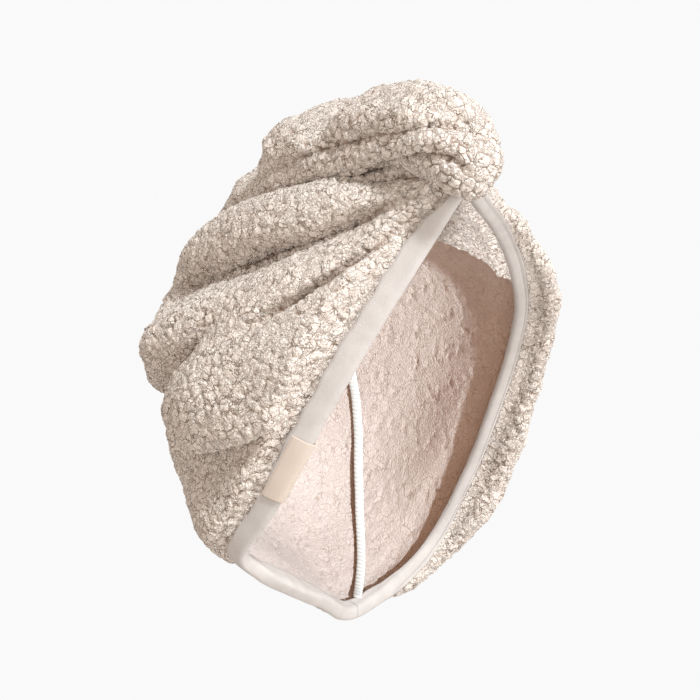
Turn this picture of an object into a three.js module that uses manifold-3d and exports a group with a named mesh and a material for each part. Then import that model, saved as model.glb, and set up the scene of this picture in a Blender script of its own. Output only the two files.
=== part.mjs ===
// A turban-style hair towel, kept in the form it has on a head.
// Millimetres, +Z up. The wearer faces -Y and +X is the wearer's left.
// The origin is the middle of the opening that the head goes into.
import * as THREE from 'three';
import { mergeVertices } from 'three/addons/utils/BufferGeometryUtils.js';
import Module from 'manifold-3d';

// Cap: the tilt of the opening, the height of the crown over it and the wall.
const OPENING_TILT = THREE.MathUtils.degToRad(38);
const CROWN_HEIGHT = 101;
const CROWN = { side: -4, along: 0, loft: 5 };
const WALL = 4.5;
const EDGE_WALL = 3.2;
const GAP = 0.3;
const TAIL_CLEARANCE = 0.5;

// Tape over the rim, seam inside, label and button.
const TAPE = {
  thickness: 1.2, outerRise: 0.05, innerRise: 0.048, leastLap: 0.01,
  foreheadStations: 2, napeStations: 1,
};
const LABEL = { thickness: 0.8, clearance: 0.5, fromStation: 17, toStation: 21, topRise: 0.044 };
const SEAM = { width: 4.5, thickness: 1.6, clearance: 0.9, steps: 22 };
const BUTTON = { radius: 11, thickness: 4, round: 1.4, sides: 28, turn: 0.56, rise: 0.25 };

// Grid of the cap: stations around the rim and rows from the rim to the crown.
const STATIONS = 90;
const TAPE_ROWS = [0, 0.027, 0.054];
const OUTER_ROWS = 24;
const INNER_ROWS = 7;

// Outline of the opening, from the forehead over the wearer's right to the nape and back
// over the wearer's left: side is +X, along runs towards the nape in the plane of the
// opening and lift is the height over that plane.
const OPENING = [
  { side: 0, along: -113, lift: 0 },
  { side: -18, along: -92, lift: 0 },
  { side: -40, along: -63, lift: 0 },
  { side: -59, along: -31, lift: 1 },
  { side: -76, along: 10, lift: 4 },
  { side: -82, along: 37, lift: 10 },
  { side: -72, along: 52, lift: 6 },
  { side: -55, along: 69, lift: 2 },
  { side: -34, along: 89, lift: 0 },
  { side: -8, along: 114, lift: 0 },
  { side: 22, along: 114, lift: 0 },
  { side: 43, along: 103, lift: 0 },
  { side: 61, along: 71, lift: 0 },
  { side: 68, along: 40, lift: 0 },
  { side: 71, along: 8, lift: 0 },
  { side: 66, along: -20, lift: 0 },
  { side: 52, along: -44, lift: 0 },
  { side: 35, along: -69, lift: 0 },
  { side: 17, along: -92, lift: 0 },
];

// How far the wall swells past the rim, how thick the gathered cloth lies on it, and how
// far the hem is turned in under it, by the turn around the rim from the forehead.
const FULLNESS = [
  { turn: 0.0, swell: 2, loft: 13, hem: 3 },
  { turn: 0.05, swell: 5, loft: 17, hem: 0 },
  { turn: 0.12, swell: 8, loft: 16, hem: 0 },
  { turn: 0.2, swell: 8, loft: 14, hem: 0 },
  { turn: 0.27, swell: 6, loft: 9, hem: 0 },
  { turn: 0.36, swell: -1, loft: 5, hem: 0 },
  { turn: 0.45, swell: 0, loft: 4, hem: 0 },
  { turn: 0.5, swell: 3, loft: 5, hem: 2 },
  { turn: 0.56, swell: 4, loft: 5, hem: 6 },
  { turn: 0.64, swell: 5, loft: 6, hem: 10 },
  { turn: 0.86, swell: 4, loft: 8, hem: 10 },
  { turn: 0.94, swell: 3, loft: 11, hem: 8 },
];
const HEM = {
  most: 10, drop: 2, dropPeak: 0.12, spread: 1.4, spreadPeak: 0.25, squeeze: 0.72, squeezeRise: 0.12,
};

// Corners of the opening are gone by this rise, by a mean over these steps to each side.
const EASE = { rise: 0.5, turns: [0.03, 0.06] };

// Creases of the outside: depth at the deepest, width above and below the line,
// and the route as turn around the rim and rise from rim (0) to crown (1).
const CREASES = [
  {
    name: 'bed of the tail, front', depth: 12, above: 17, below: 17,
    route: [[0, 0.2], [0, 0.3], [0, 0.45], [0, 0.6], [0, 0.75], [0, 0.9]],
  },
  {
    name: 'beside the tail, right', depth: 8, above: 8, below: 7,
    route: [[-0.003, 0.15], [0.005, 0.212], [0.014, 0.28], [0.021, 0.357], [0.031, 0.42],
      [0.046, 0.495], [0.06, 0.6], [0.07, 0.72]],
  },
  {
    name: 'short crease from the knot', depth: 6, above: 6, below: 7,
    route: [[-0.006, 0.065], [0.003, 0.095], [0.01, 0.13], [0.016, 0.165], [0.026, 0.2],
      [0.04, 0.26]],
  },
  {
    name: 'deep fold', depth: 13, above: 7, below: 9,
    route: [[0.01, 0.065], [0.024, 0.098], [0.046, 0.143], [0.066, 0.21], [0.082, 0.265],
      [0.096, 0.33], [0.112, 0.403], [0.129, 0.503], [0.158, 0.65], [0.19, 0.76]],
  },
  {
    name: 'fold beside the tape', depth: 8, above: 6, below: 6,
    route: [[0.01, 0.05], [0.04, 0.07], [0.061, 0.088], [0.087, 0.12], [0.103, 0.145],
      [0.118, 0.175], [0.131, 0.2], [0.152, 0.235]],
  },
  {
    name: 'pocket under the back bump', depth: 9, above: 8, below: 9,
    route: [[0.145, 0.32], [0.162, 0.357], [0.192, 0.427], [0.222, 0.49], [0.273, 0.57],
      [0.31, 0.62]],
  },
  {
    name: 'under the lower bulge', depth: 8, above: 6, below: 14,
    route: [[0.185, 0.06], [0.196, 0.083], [0.211, 0.135], [0.244, 0.24], [0.267, 0.36],
      [0.29, 0.46]],
  },
  {
    name: 'beside the tail, left', depth: 8, above: 10, below: 10,
    route: [[-0.008, 0.2], [-0.022, 0.36], [-0.03, 0.5], [-0.036, 0.66], [-0.03, 0.78]],
  },
  {
    name: 'upper fold, left', depth: 7, above: 13, below: 11,
    route: [[-0.02, 0.14], [-0.05, 0.25], [-0.085, 0.39], [-0.125, 0.53], [-0.18, 0.66]],
  },
  {
    name: 'middle fold, left', depth: 5, above: 12, below: 13,
    route: [[-0.05, 0.13], [-0.1, 0.2], [-0.16, 0.29], [-0.22, 0.4], [-0.27, 0.5]],
  },
  {
    name: 'right of the tail, back', depth: 5, above: 9, below: 9,
    route: [[0.46, 0.2], [0.44, 0.4], [0.4, 0.58], [0.34, 0.72]],
  },
  {
    name: 'left of the tail, back', depth: 5, above: 9, below: 9,
    route: [[0.52, 0.2], [0.55, 0.4], [0.6, 0.56], [0.66, 0.7]],
  },
];

// The bump at the back and the soft ridges between the creases: height and half width.
const RIDGES = [
  {
    name: 'back bump', height: 8, width: 12,
    route: [[0.14, 0.34], [0.157, 0.435], [0.183, 0.512], [0.22, 0.6], [0.28, 0.68]],
  },
  {
    name: 'lower bulge', height: 6, width: 14,
    route: [[0.15, 0.24], [0.19, 0.28], [0.225, 0.31], [0.25, 0.31]],
  },
];

// The twisted end of the towel, from the knot over the forehead to its tip at the back:
// the middle of each section and its half width and half thickness.
const TAIL = [
  { side: -2, along: -116, height: -7, wide: 4, thick: 3 },
  { side: -3, along: -122, height: -4, wide: 11, thick: 9 },
  { side: -3, along: -128, height: 4, wide: 15, thick: 14 },
  { side: -3, along: -130, height: 15, wide: 17, thick: 16 },
  { side: -2, along: -124, height: 31, wide: 19, thick: 16 },
  { side: -1, along: -110, height: 47, wide: 21, thick: 16 },
  { side: 0, along: -93, height: 63, wide: 22, thick: 16 },
  { side: 2, along: -72, height: 76, wide: 22, thick: 16 },
  { side: 4, along: -47, height: 87, wide: 22, thick: 16 },
  { side: 5, along: -17, height: 96, wide: 22, thick: 15 },
  { side: 4, along: 17, height: 98, wide: 21, thick: 15 },
  { side: 2, along: 50, height: 91, wide: 19, thick: 14 },
  { side: 0, along: 80, height: 73, wide: 17, thick: 13 },
  { side: -3, along: 101, height: 53, wide: 13, thick: 11 },
  { side: -5, along: 110, height: 41, wide: 9, thick: 8 },
  { side: -5, along: 113, height: 36, wide: 4, thick: 3 },
];
const TWIST = { lobes: 3, depth: 0.1, turns: 2.1, sides: 18, sections: 34 };

// Route of the seam on the inside, from the nape up.
const SEAM_ROUTE = [
  [0.505, 0.06], [0.521, 0.09], [0.549, 0.147], [0.58, 0.245], [0.605, 0.312],
  [0.633, 0.367], [0.658, 0.415], [0.69, 0.5], [0.72, 0.62],
];

const tiltAlong = new THREE.Vector3(0, Math.cos(OPENING_TILT), -Math.sin(OPENING_TILT));
const tiltUp = new THREE.Vector3(0, Math.sin(OPENING_TILT), Math.cos(OPENING_TILT));

// A place given by its side, its way along the opening and its height over it.
function place(side, along, height) {
  return new THREE.Vector3(side, 0, 0)
    .addScaledVector(tiltAlong, along)
    .addScaledVector(tiltUp, height);
}

const rimCurve = new THREE.CatmullRomCurve3(
  OPENING.map(({ side, along, lift }) => new THREE.Vector3(side, along, lift)), true,
  'centripetal');
rimCurve.arcLengthDivisions = 2000;

// Blend of a table's column at a turn, going round without a step.
function around(table, column, turn) {
  const at = ((turn % 1) + 1) % 1;
  const next = table.findIndex((row) => row.turn > at);
  const after = next < 0 ? { ...table[0], turn: 1 } : table[next];
  const before = table[(next < 0 ? table.length : next) - 1];
  const part = (at - before.turn) / (after.turn - before.turn);
  return THREE.MathUtils.lerp(before[column], after[column], (1 - Math.cos(part * Math.PI)) / 2);
}

// A hump that starts at nothing, is 1 at its peak and dies away slowly.
function hump(at, peak) {
  return (at / peak) * Math.exp(1 - at / peak);
}

// The outline of the opening, its corners eased away with the rise.
function rimAt(turn, rise) {
  const spot = (at) => rimCurve.getPointAt(((at % 1) + 1) % 1);
  const rim = spot(turn);
  const mean = EASE.turns.reduce((sum, step) => (
    sum.add(spot(turn - step)).add(spot(turn + step))), rim.clone());
  mean.divideScalar(2 * EASE.turns.length + 1);
  return rim.lerp(mean, THREE.MathUtils.smoothstep(rise, 0, EASE.rise));
}

// The plain dome under the folds, from the rim (rise 0) to the crown (rise 1), with the
// hem turned in under it or, for the face inside, without.
function dome(turn, rise, hemmed = true) {
  const rim = rimAt(turn, rise);
  const out = new THREE.Vector2(rim.x - CROWN.side, rim.y - CROWN.along);
  const hem = hemmed ? around(FULLNESS, 'hem', turn) : 0;
  const squeeze = HEM.squeeze * (hem / HEM.most) * Math.exp(-((rise / HEM.squeezeRise) ** 2));
  const up = rise * (1 - squeeze);
  const roll = hem * (1 - up ** 3);
  const swell = around(FULLNESS, 'swell', turn) * Math.sin(Math.PI * up ** 0.65);
  const spread = roll * HEM.spread * hump(up, HEM.spreadPeak);
  const height = CROWN_HEIGHT * Math.sin((up * Math.PI) / 2)
    - roll * HEM.drop * hump(up, HEM.dropPeak) + rim.z * (1 - up) ** 2;
  out.setLength(out.length() * Math.cos((up * Math.PI) / 2) + swell + spread);
  return place(CROWN.side + out.x, CROWN.along + out.y, height);
}

// Outward direction of the dome, by small steps around and up.
function domeNormal(turn, rise, hemmed = true) {
  const step = 0.004;
  const low = Math.min(rise, 0.985);
  const roundWay = dome(turn + step, low, hemmed).sub(dome(turn - step, low, hemmed));
  const upWay = dome(turn, low + step, hemmed).sub(dome(turn, Math.max(low - step, 0), hemmed));
  return upWay.cross(roundWay).normalize();
}

// A route of turns and rises as a line of points on the dome.
function domeLine(route) {
  const line = new THREE.CatmullRomCurve3(
    route.map(([turn, rise]) => dome(turn, rise)), false, 'centripetal');
  return line.getPoints(24);
}

const creases = CREASES.map((crease) => ({ ...crease, points: domeLine(crease.route) }));
const ridges = RIDGES.map((ridge) => ({ ...ridge, points: domeLine(ridge.route) }));

// The nearest place on a line: how far, on which side, and how far along.
function nearestOn(points, point, normal) {
  const gapTo = new THREE.Vector3();
  const run = new THREE.Vector3();
  const foot = new THREE.Vector3();
  let best = { distance: Infinity, across: 0, part: 0 };
  for (let i = 0; i + 1 < points.length; i += 1) {
    run.subVectors(points[i + 1], points[i]);
    gapTo.subVectors(point, points[i]);
    const share = THREE.MathUtils.clamp(gapTo.dot(run) / run.lengthSq(), 0, 1);
    foot.copy(points[i]).addScaledVector(run, share);
    const distance = foot.distanceTo(point);
    if (distance < best.distance) {
      const across = gapTo.cross(run).dot(normal);
      best = { distance, across, part: (i + share) / (points.length - 1) };
    }
  }
  return best;
}

// A fold starts and ends softly.
function taper(part) {
  const { smoothstep } = THREE.MathUtils;
  return smoothstep(part, -0.05, 0.4) * smoothstep(1.05 - part, 0, 0.3);
}

// How far the folds lift or press the cloth at a point of the dome.
function foldLift(point, normal) {
  let lift = 0;
  for (const { depth, above, below, points } of creases) {
    const near = nearestOn(points, point, normal);
    const width = near.across > 0 ? above : below;
    lift -= depth * taper(near.part) * Math.exp(-((near.distance / width) ** 2));
  }
  for (const { height, width, points } of ridges) {
    const near = nearestOn(points, point, normal);
    lift += height * taper(near.part) * Math.exp(-((near.distance / width) ** 2));
  }
  return lift;
}

function wallOf(rise) {
  return THREE.MathUtils.lerp(EDGE_WALL, WALL, THREE.MathUtils.smoothstep(rise, 0.05, 0.12));
}

// Outside of the cap: the dome with its gathered cloth and its creases.
function outside(turn, rise, extra = 0) {
  const base = dome(turn, rise);
  const normal = domeNormal(turn, rise);
  const free = THREE.MathUtils.smoothstep(rise, 0.056, 0.12);
  const evened = THREE.MathUtils.smoothstep(rise, 0.66, 1);
  const loft = THREE.MathUtils.lerp(around(FULLNESS, 'loft', turn), CROWN.loft, evened);
  const folds = foldLift(base, normal) * (1 - evened);
  return base.addScaledVector(normal, free * Math.max(loft + folds, -1) + extra);
}

function inside(turn, rise, extra = 0) {
  return dome(turn, rise, false)
    .addScaledVector(domeNormal(turn, rise, false), -wallOf(rise) - extra);
}

// A point clear of the cap near the rim, on its outer face or on its inner one.
function besideRim(turn, rise, clear, outer) {
  const offset = outer ? clear : -clear - EDGE_WALL;
  return dome(turn, rise, outer).addScaledVector(domeNormal(turn, rise, outer), offset);
}

// The same past the edge, mitred between that face and the edge.
function pastEdge(turn, clear, outer) {
  const edge = dome(turn, 0);
  const down = edge.clone().sub(dome(turn, TAPE_ROWS[1], false)).normalize();
  if (!outer) {
    return edge.addScaledVector(domeNormal(turn, 0, false), -EDGE_WALL - clear)
      .addScaledVector(down, clear);
  }
  const face = domeNormal(turn, 0);
  const mitre = face.clone().add(down).multiplyScalar(clear / (1 + face.dot(down)));
  return edge.add(mitre);
}

// Triangles that close a ring of points: a fan to its middle, or rungs between the two
// legs of a folded section.
function fanEnd(first, ringSize, tip) {
  return Array.from({ length: ringSize }, (_, k) => (
    [first + k, first + ((k + 1) % ringSize), tip])).flat();
}

function rungEnd(first, ringSize) {
  const last = first + ringSize - 1;
  return Array.from({ length: ringSize / 2 - 1 }, (_, k) => [
    first + k, first + k + 1, last - k - 1, first + k, last - k - 1, last - k,
  ]).flat();
}

// A closed mesh from rings of points, each joined to the next.
function skinRings(rings, folded = false) {
  const points = [];
  const triangles = [];
  const ringSize = rings[0].length;
  rings.forEach((ring) => ring.forEach((p) => points.push(p.x, p.y, p.z)));
  for (let r = 0; r + 1 < rings.length; r += 1) {
    for (let k = 0; k < ringSize; k += 1) {
      const a = r * ringSize + k;
      const b = r * ringSize + ((k + 1) % ringSize);
      triangles.push(a, b + ringSize, b, a, a + ringSize, b + ringSize);
    }
  }
  [0, rings.length - 1].forEach((r) => {
    const tip = points.length / 3;
    if (!folded) {
      const middle = rings[r].reduce((sum, p) => sum.add(p), new THREE.Vector3())
        .divideScalar(ringSize);
      points.push(middle.x, middle.y, middle.z);
    }
    const end = folded ? rungEnd(r * ringSize, ringSize) : fanEnd(r * ringSize, ringSize, tip);
    triangles.push(...(r === 0 ? end : end.reverse()));
  });
  const geometry = new THREE.BufferGeometry();
  geometry.setAttribute('position', new THREE.Float32BufferAttribute(points, 3));
  geometry.setIndex(triangles);
  return geometry;
}

function risesUp(rows) {
  const start = TAPE_ROWS[TAPE_ROWS.length - 1];
  const rises = [...TAPE_ROWS];
  for (let r = 1; r < rows; r += 1) {
    rises.push(start + (1 - start) * (r / rows) ** 1.25);
  }
  return rises;
}

function ringAt(surface, rise, extra) {
  return Array.from({ length: STATIONS }, (_, k) => surface(k / STATIONS, rise, extra));
}

// The cap: the inside from the crown down to the rim, then the outside back up.
function capGeometry() {
  const down = risesUp(INNER_ROWS).reverse().map((rise) => ringAt(inside, rise));
  const up = risesUp(OUTER_ROWS).map((rise) => ringAt(outside, rise));
  return skinRings([...down, ...up]);
}

// Section of a strip folded over the rim: clear of the cap by a gap, up to a rise on the
// outside and another on the inside.
function foldedStrip(turn, clear, thickness, outerRise, innerRise) {
  const middle = TAPE_ROWS[1];
  const far = clear + thickness;
  const lap = innerRise / 2;
  return [
    besideRim(turn, outerRise, far, true), besideRim(turn, middle, far, true),
    pastEdge(turn, far, true), pastEdge(turn, far, false),
    besideRim(turn, lap, far, false), besideRim(turn, innerRise, far, false),
    besideRim(turn, innerRise, clear, false), besideRim(turn, lap, clear, false),
    pastEdge(turn, clear, false), pastEdge(turn, clear, true),
    besideRim(turn, middle, clear, true), besideRim(turn, outerRise, clear, true),
  ];
}

// The tape laps up the inside less where the hem is turned in.
function tapeLap(turn) {
  const plain = 1 - around(FULLNESS, 'hem', turn) / (HEM.most * 0.8);
  return Math.max(TAPE.innerRise * plain, TAPE.leastLap);
}

// The turns of the stations from one to another.
function turnsBetween(from, to) {
  return Array.from({ length: to - from + 1 }, (_, k) => (from + k) / STATIONS);
}

function bindingGeometry(from, to) {
  return skinRings(turnsBetween(from, to).map(
    (turn) => foldedStrip(turn, GAP, TAPE.thickness, TAPE.outerRise, tapeLap(turn))), true);
}

function labelGeometry() {
  const { clearance, fromStation, toStation, thickness, topRise } = LABEL;
  const clear = GAP + TAPE.thickness + clearance;
  return skinRings(turnsBetween(fromStation, toStation).map(
    (turn) => foldedStrip(turn, clear, thickness, topRise, topRise)), true);
}

// The seam: a flat strip that lies on the inside along its route.
function seamGeometry() {
  const line = new THREE.CatmullRomCurve3(
    SEAM_ROUTE.map(([turn, rise]) => new THREE.Vector3(turn, rise, 0)), false, 'centripetal');
  const spots = line.getPoints(SEAM.steps);
  return skinRings(spots.map(({ x: turn, y: rise }, k) => {
    const ahead = spots[Math.min(k + 1, SEAM.steps)];
    const behind = spots[Math.max(k - 1, 0)];
    const normal = domeNormal(turn, rise, false);
    const way = inside(ahead.x, ahead.y).sub(inside(behind.x, behind.y)).normalize();
    const across = way.cross(normal).normalize();
    const corner = (sideways, depth) => inside(turn, rise, depth).addScaledVector(across, sideways);
    const half = SEAM.width / 2;
    const deep = SEAM.clearance + SEAM.thickness;
    const edge = SEAM.clearance + SEAM.thickness * 0.4;
    return [
      corner(-half, SEAM.clearance), corner(-half, edge), corner(-half / 2, deep),
      corner(half / 2, deep), corner(half, edge), corner(half, SEAM.clearance),
    ];
  }));
}

// The twisted tail before it is seated: lobed sections that turn along its way.
function tailGeometry() {
  const column = (name) => new THREE.CatmullRomCurve3(
    TAIL.map((row, k) => new THREE.Vector3(k, row[name], 0)), false, 'catmullrom');
  const widths = column('wide');
  const thicknesses = column('thick');
  const middle = new THREE.CatmullRomCurve3(
    TAIL.map(({ side, along, height }) => place(side, along, height)), false, 'catmullrom');
  const rings = [];
  for (let k = 0; k <= TWIST.sections; k += 1) {
    const part = k / TWIST.sections;
    const centre = middle.getPoint(part);
    const way = middle.getTangent(part);
    const across = way.clone().cross(centre).normalize();
    const up = across.clone().cross(way).normalize();
    rings.push(Array.from({ length: TWIST.sides }, (_, i) => {
      const angle = (2 * Math.PI * i) / TWIST.sides;
      const turned = TWIST.lobes * angle - 2 * Math.PI * TWIST.turns * part;
      const size = 1 + TWIST.depth * Math.cos(turned);
      return centre.clone()
        .addScaledVector(across, Math.cos(angle) * size * widths.getPoint(part).y)
        .addScaledVector(up, Math.sin(angle) * size * thicknesses.getPoint(part).y);
    }));
  }
  return skinRings(rings);
}

// Everything that the cap and its tape fill, with a small gap over it, as one solid.
function seatGeometry() {
  const cover = GAP + TAPE.thickness + GAP;
  const top = TAPE_ROWS[TAPE_ROWS.length - 1];
  const below = Array.from({ length: STATIONS }, (_, k) => pastEdge(k / STATIONS, cover, true));
  const taped = TAPE_ROWS.map((rise) => ringAt(
    (turn) => besideRim(turn, rise, cover, true), rise));
  const bare = risesUp(OUTER_ROWS).filter((rise) => rise > top).map(
    (rise) => ringAt(outside, rise, TAIL_CLEARANCE));
  return skinRings([below, ...taped, ...bare]);
}

function buttonGeometry() {
  const { radius, thickness, round, sides } = BUTTON;
  const profile = [
    [0, 0], [radius - round, 0], [radius, round], [radius, thickness - round],
    [radius - round, thickness], [radius - 2 * round, thickness - round / 2],
    [0, thickness - round / 2],
  ].map(([x, y]) => new THREE.Vector2(x, y));
  return new THREE.LatheGeometry(profile, sides);
}

const wasm = await Module();
wasm.setup();

function toSolid(geometry) {
  const bare = geometry.clone();
  bare.deleteAttribute('normal');
  bare.deleteAttribute('uv');
  const merged = mergeVertices(bare, 1e-4);
  return new wasm.Manifold(new wasm.Mesh({
    numProp: 3,
    vertProperties: merged.attributes.position.array,
    triVerts: new Uint32Array(merged.index.array),
  }));
}

function toGeometry(solid) {
  const mesh = solid.getMesh();
  const geometry = new THREE.BufferGeometry();
  geometry.setAttribute('position', new THREE.Float32BufferAttribute(mesh.vertProperties, 3));
  geometry.setIndex([...mesh.triVerts]);
  return geometry;
}

// The largest piece of a solid, so that no crumb of a cut is kept.
function largest(solid) {
  return solid.decompose().reduce((a, b) => (b.volume() > a.volume() ? b : a));
}

const terry = new THREE.MeshStandardMaterial({ color: 0xe2d2c6, roughness: 0.95, metalness: 0 });
const tape = new THREE.MeshStandardMaterial({ color: 0xe8e2dd, roughness: 0.7, metalness: 0 });
const thread = new THREE.MeshStandardMaterial({ color: 0xeeece6, roughness: 0.85, metalness: 0 });
const satin = new THREE.MeshStandardMaterial({ color: 0xe6d6c6, roughness: 0.6, metalness: 0 });
const resin = new THREE.MeshStandardMaterial({ color: 0xe4d8cc, roughness: 0.4, metalness: 0 });

const towel = new THREE.Group();

function addPiece(name, geometry, material) {
  const mesh = new THREE.Mesh(geometry, material);
  mesh.name = name;
  towel.add(mesh);
  return mesh;
}

// The turn at which the opening reaches the nape.
function napeTurn() {
  const nape = rimCurve.points.reduce((a, b) => (b.x < 20 && b.y > a.y ? b : a));
  const turns = Array.from({ length: 4001 }, (_, k) => k / 4000);
  const far = (turn) => rimCurve.getPointAt(turn % 1).distanceTo(nape);
  return turns.reduce((a, b) => (far(b) < far(a) ? b : a));
}

const { foreheadStations, napeStations } = TAPE;
const napeStation = Math.round(napeTurn() * STATIONS);

addPiece('cap', capGeometry(), terry);
addPiece('binding_right', bindingGeometry(foreheadStations, napeStation - napeStations), tape);
addPiece(
  'binding_left', bindingGeometry(napeStation + napeStations, STATIONS - foreheadStations), tape);
addPiece('side_label', labelGeometry(), satin);
addPiece('back_seam', seamGeometry(), thread);

const seated = largest(toSolid(tailGeometry()).subtract(toSolid(seatGeometry())));
addPiece('twisted_tail', toGeometry(seated), terry);

const button = addPiece('tail_button', buttonGeometry(), resin);
button.position.copy(outside(BUTTON.turn, BUTTON.rise, GAP + 0.2));
button.quaternion.setFromUnitVectors(
  new THREE.Vector3(0, 1, 0), domeNormal(BUTTON.turn, BUTTON.rise));

export default towel;
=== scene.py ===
"""Looks of a turban-style hair towel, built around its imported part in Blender 4.5.

The part's solids stay hidden behind dense cloth meshes that follow the same sizes: the
terry cap outside and inside, the twisted tail, the tape over the rim, the bare label, the
overlocked seam and the button. Sizes are in millimetres until a mesh is made.
"""

from __future__ import annotations

import logging
import math
from dataclasses import dataclass
from enum import Enum
from typing import Callable, Sequence

import bmesh
import bpy
import numpy as np
from mathutils import Matrix, Vector
from mathutils.kdtree import KDTree

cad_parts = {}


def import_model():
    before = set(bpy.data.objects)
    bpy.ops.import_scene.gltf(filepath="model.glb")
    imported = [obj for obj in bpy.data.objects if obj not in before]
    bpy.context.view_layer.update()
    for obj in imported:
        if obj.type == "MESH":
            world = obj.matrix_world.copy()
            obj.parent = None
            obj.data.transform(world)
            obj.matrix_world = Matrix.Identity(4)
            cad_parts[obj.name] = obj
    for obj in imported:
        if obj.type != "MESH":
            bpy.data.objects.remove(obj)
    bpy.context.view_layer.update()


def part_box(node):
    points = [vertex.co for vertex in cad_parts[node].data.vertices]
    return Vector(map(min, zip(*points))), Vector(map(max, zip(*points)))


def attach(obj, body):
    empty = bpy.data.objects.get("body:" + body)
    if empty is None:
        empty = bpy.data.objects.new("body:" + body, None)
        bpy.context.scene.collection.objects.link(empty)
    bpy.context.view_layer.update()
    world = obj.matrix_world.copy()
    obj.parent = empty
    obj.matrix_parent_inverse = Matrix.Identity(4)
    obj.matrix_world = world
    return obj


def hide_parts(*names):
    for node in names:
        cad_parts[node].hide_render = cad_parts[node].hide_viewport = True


log = logging.getLogger("hair_towel")

Array = np.ndarray
Colour = tuple[float, float, float]
Route = tuple[tuple[float, float], ...]
MM = 0.001
SEED = 20
WAVE_COUNT = 7
CHUNK = 8192
WELD = 1e-7

OPENING_TILT = math.radians(38)
CROWN_HEIGHT = 101.0
CROWN_SIDE = -4.0
CROWN_ALONG = 0.0
CROWN_LOFT = 5.0
LEAST_LOFT = 1.0
WALL = 4.5
EDGE_WALL = 3.2
EASE_RISE = 0.5
EASE_TURNS = (0.03, 0.06)
FREE_RISES = (0.05, 0.1)
EVEN_RISES = (0.66, 1)
WALL_RISES = (0.05, 0.12)
NORMAL_STEP = 0.004
NORMAL_LAST = 0.985


@dataclass(frozen=True)
class RimPoint:
    """A point of the opening's outline, in the plane of the opening, in millimetres."""

    side: float
    along: float
    lift: float


@dataclass(frozen=True)
class Fullness:
    """How the wall swells, how thick the cloth lies and how far the hem turns in, at a turn."""

    turn: float
    swell: float
    loft: float
    hem: float


@dataclass(frozen=True)
class Fold:
    """A crease (negative height) or ridge along a route.

    The route has turns and rises on the cap, and shares of the way and degrees on the tail. A
    fold may lean over on its upper side, have sharper flanks, and end in a slit of its own
    depth.
    """

    name: str
    height: float
    above: float
    below: float
    route: Route
    lean: float = 0.0
    sharp: float = 2.0
    slit: float = 0.0


@dataclass(frozen=True)
class FoldShape:
    """What all folds share: their reach, how they begin and end, the width of a slit, and the
    width of the shade painted along it.
    """

    reach: float = 3.0
    begin: tuple[float, float] = (-0.05, 0.4)
    last: float = 1.05
    end: tuple[float, float] = (0, 0.3)
    slit_width: float = 1.3
    # Width of the painted shade along a slit.
    slit_shade_width: float = 0.75
    lean_at: float = 0.9
    lean_width: float = 0.7


FOLD = FoldShape()


@dataclass(frozen=True)
class TailStation:
    """The middle of a section of the tail and its half width and half thickness."""

    side: float
    along: float
    height: float
    wide: float
    thick: float


OPENING = (
    RimPoint(0, -113, 0), RimPoint(-18, -92, 0), RimPoint(-40, -63, 0), RimPoint(-59, -31, 1),
    RimPoint(-76, 10, 4), RimPoint(-82, 37, 10), RimPoint(-72, 52, 6), RimPoint(-55, 69, 2),
    RimPoint(-34, 89, 0), RimPoint(-8, 114, 0), RimPoint(23, 116, 0), RimPoint(45, 105, 0),
    RimPoint(62, 72, 0), RimPoint(68, 40, 0), RimPoint(71, 8, 0), RimPoint(68, -20, 0),
    RimPoint(56, -46, 0), RimPoint(39, -72, 0), RimPoint(20, -95, 0),
)

FULLNESS = (
    Fullness(0.0, 2, 12, 3), Fullness(0.05, 5, 17, 0), Fullness(0.12, 8, 16, 0),
    Fullness(0.2, 7, 13, 0), Fullness(0.27, 3, 6, 0), Fullness(0.36, -3, 3, 0),
    Fullness(0.45, 0, 4, 0), Fullness(0.5, 3, 6, 2), Fullness(0.56, 4, 8, 6),
    Fullness(0.64, 5, 6, 10), Fullness(0.8, 4, 5, 9), Fullness(0.88, 2, 2.5, 7),
    Fullness(0.95, 1, 3, 5),
)


@dataclass(frozen=True)
class HemShape:
    """How the turned-in hem rolls: its most, and how it drops, spreads and squeezes."""

    most: float = 10.0
    drop: float = 2.0
    drop_peak: float = 0.12
    spread: float = 1.4
    spread_peak: float = 0.25
    squeeze: float = 0.72
    squeeze_rise: float = 0.12


HEM = HemShape()

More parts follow.
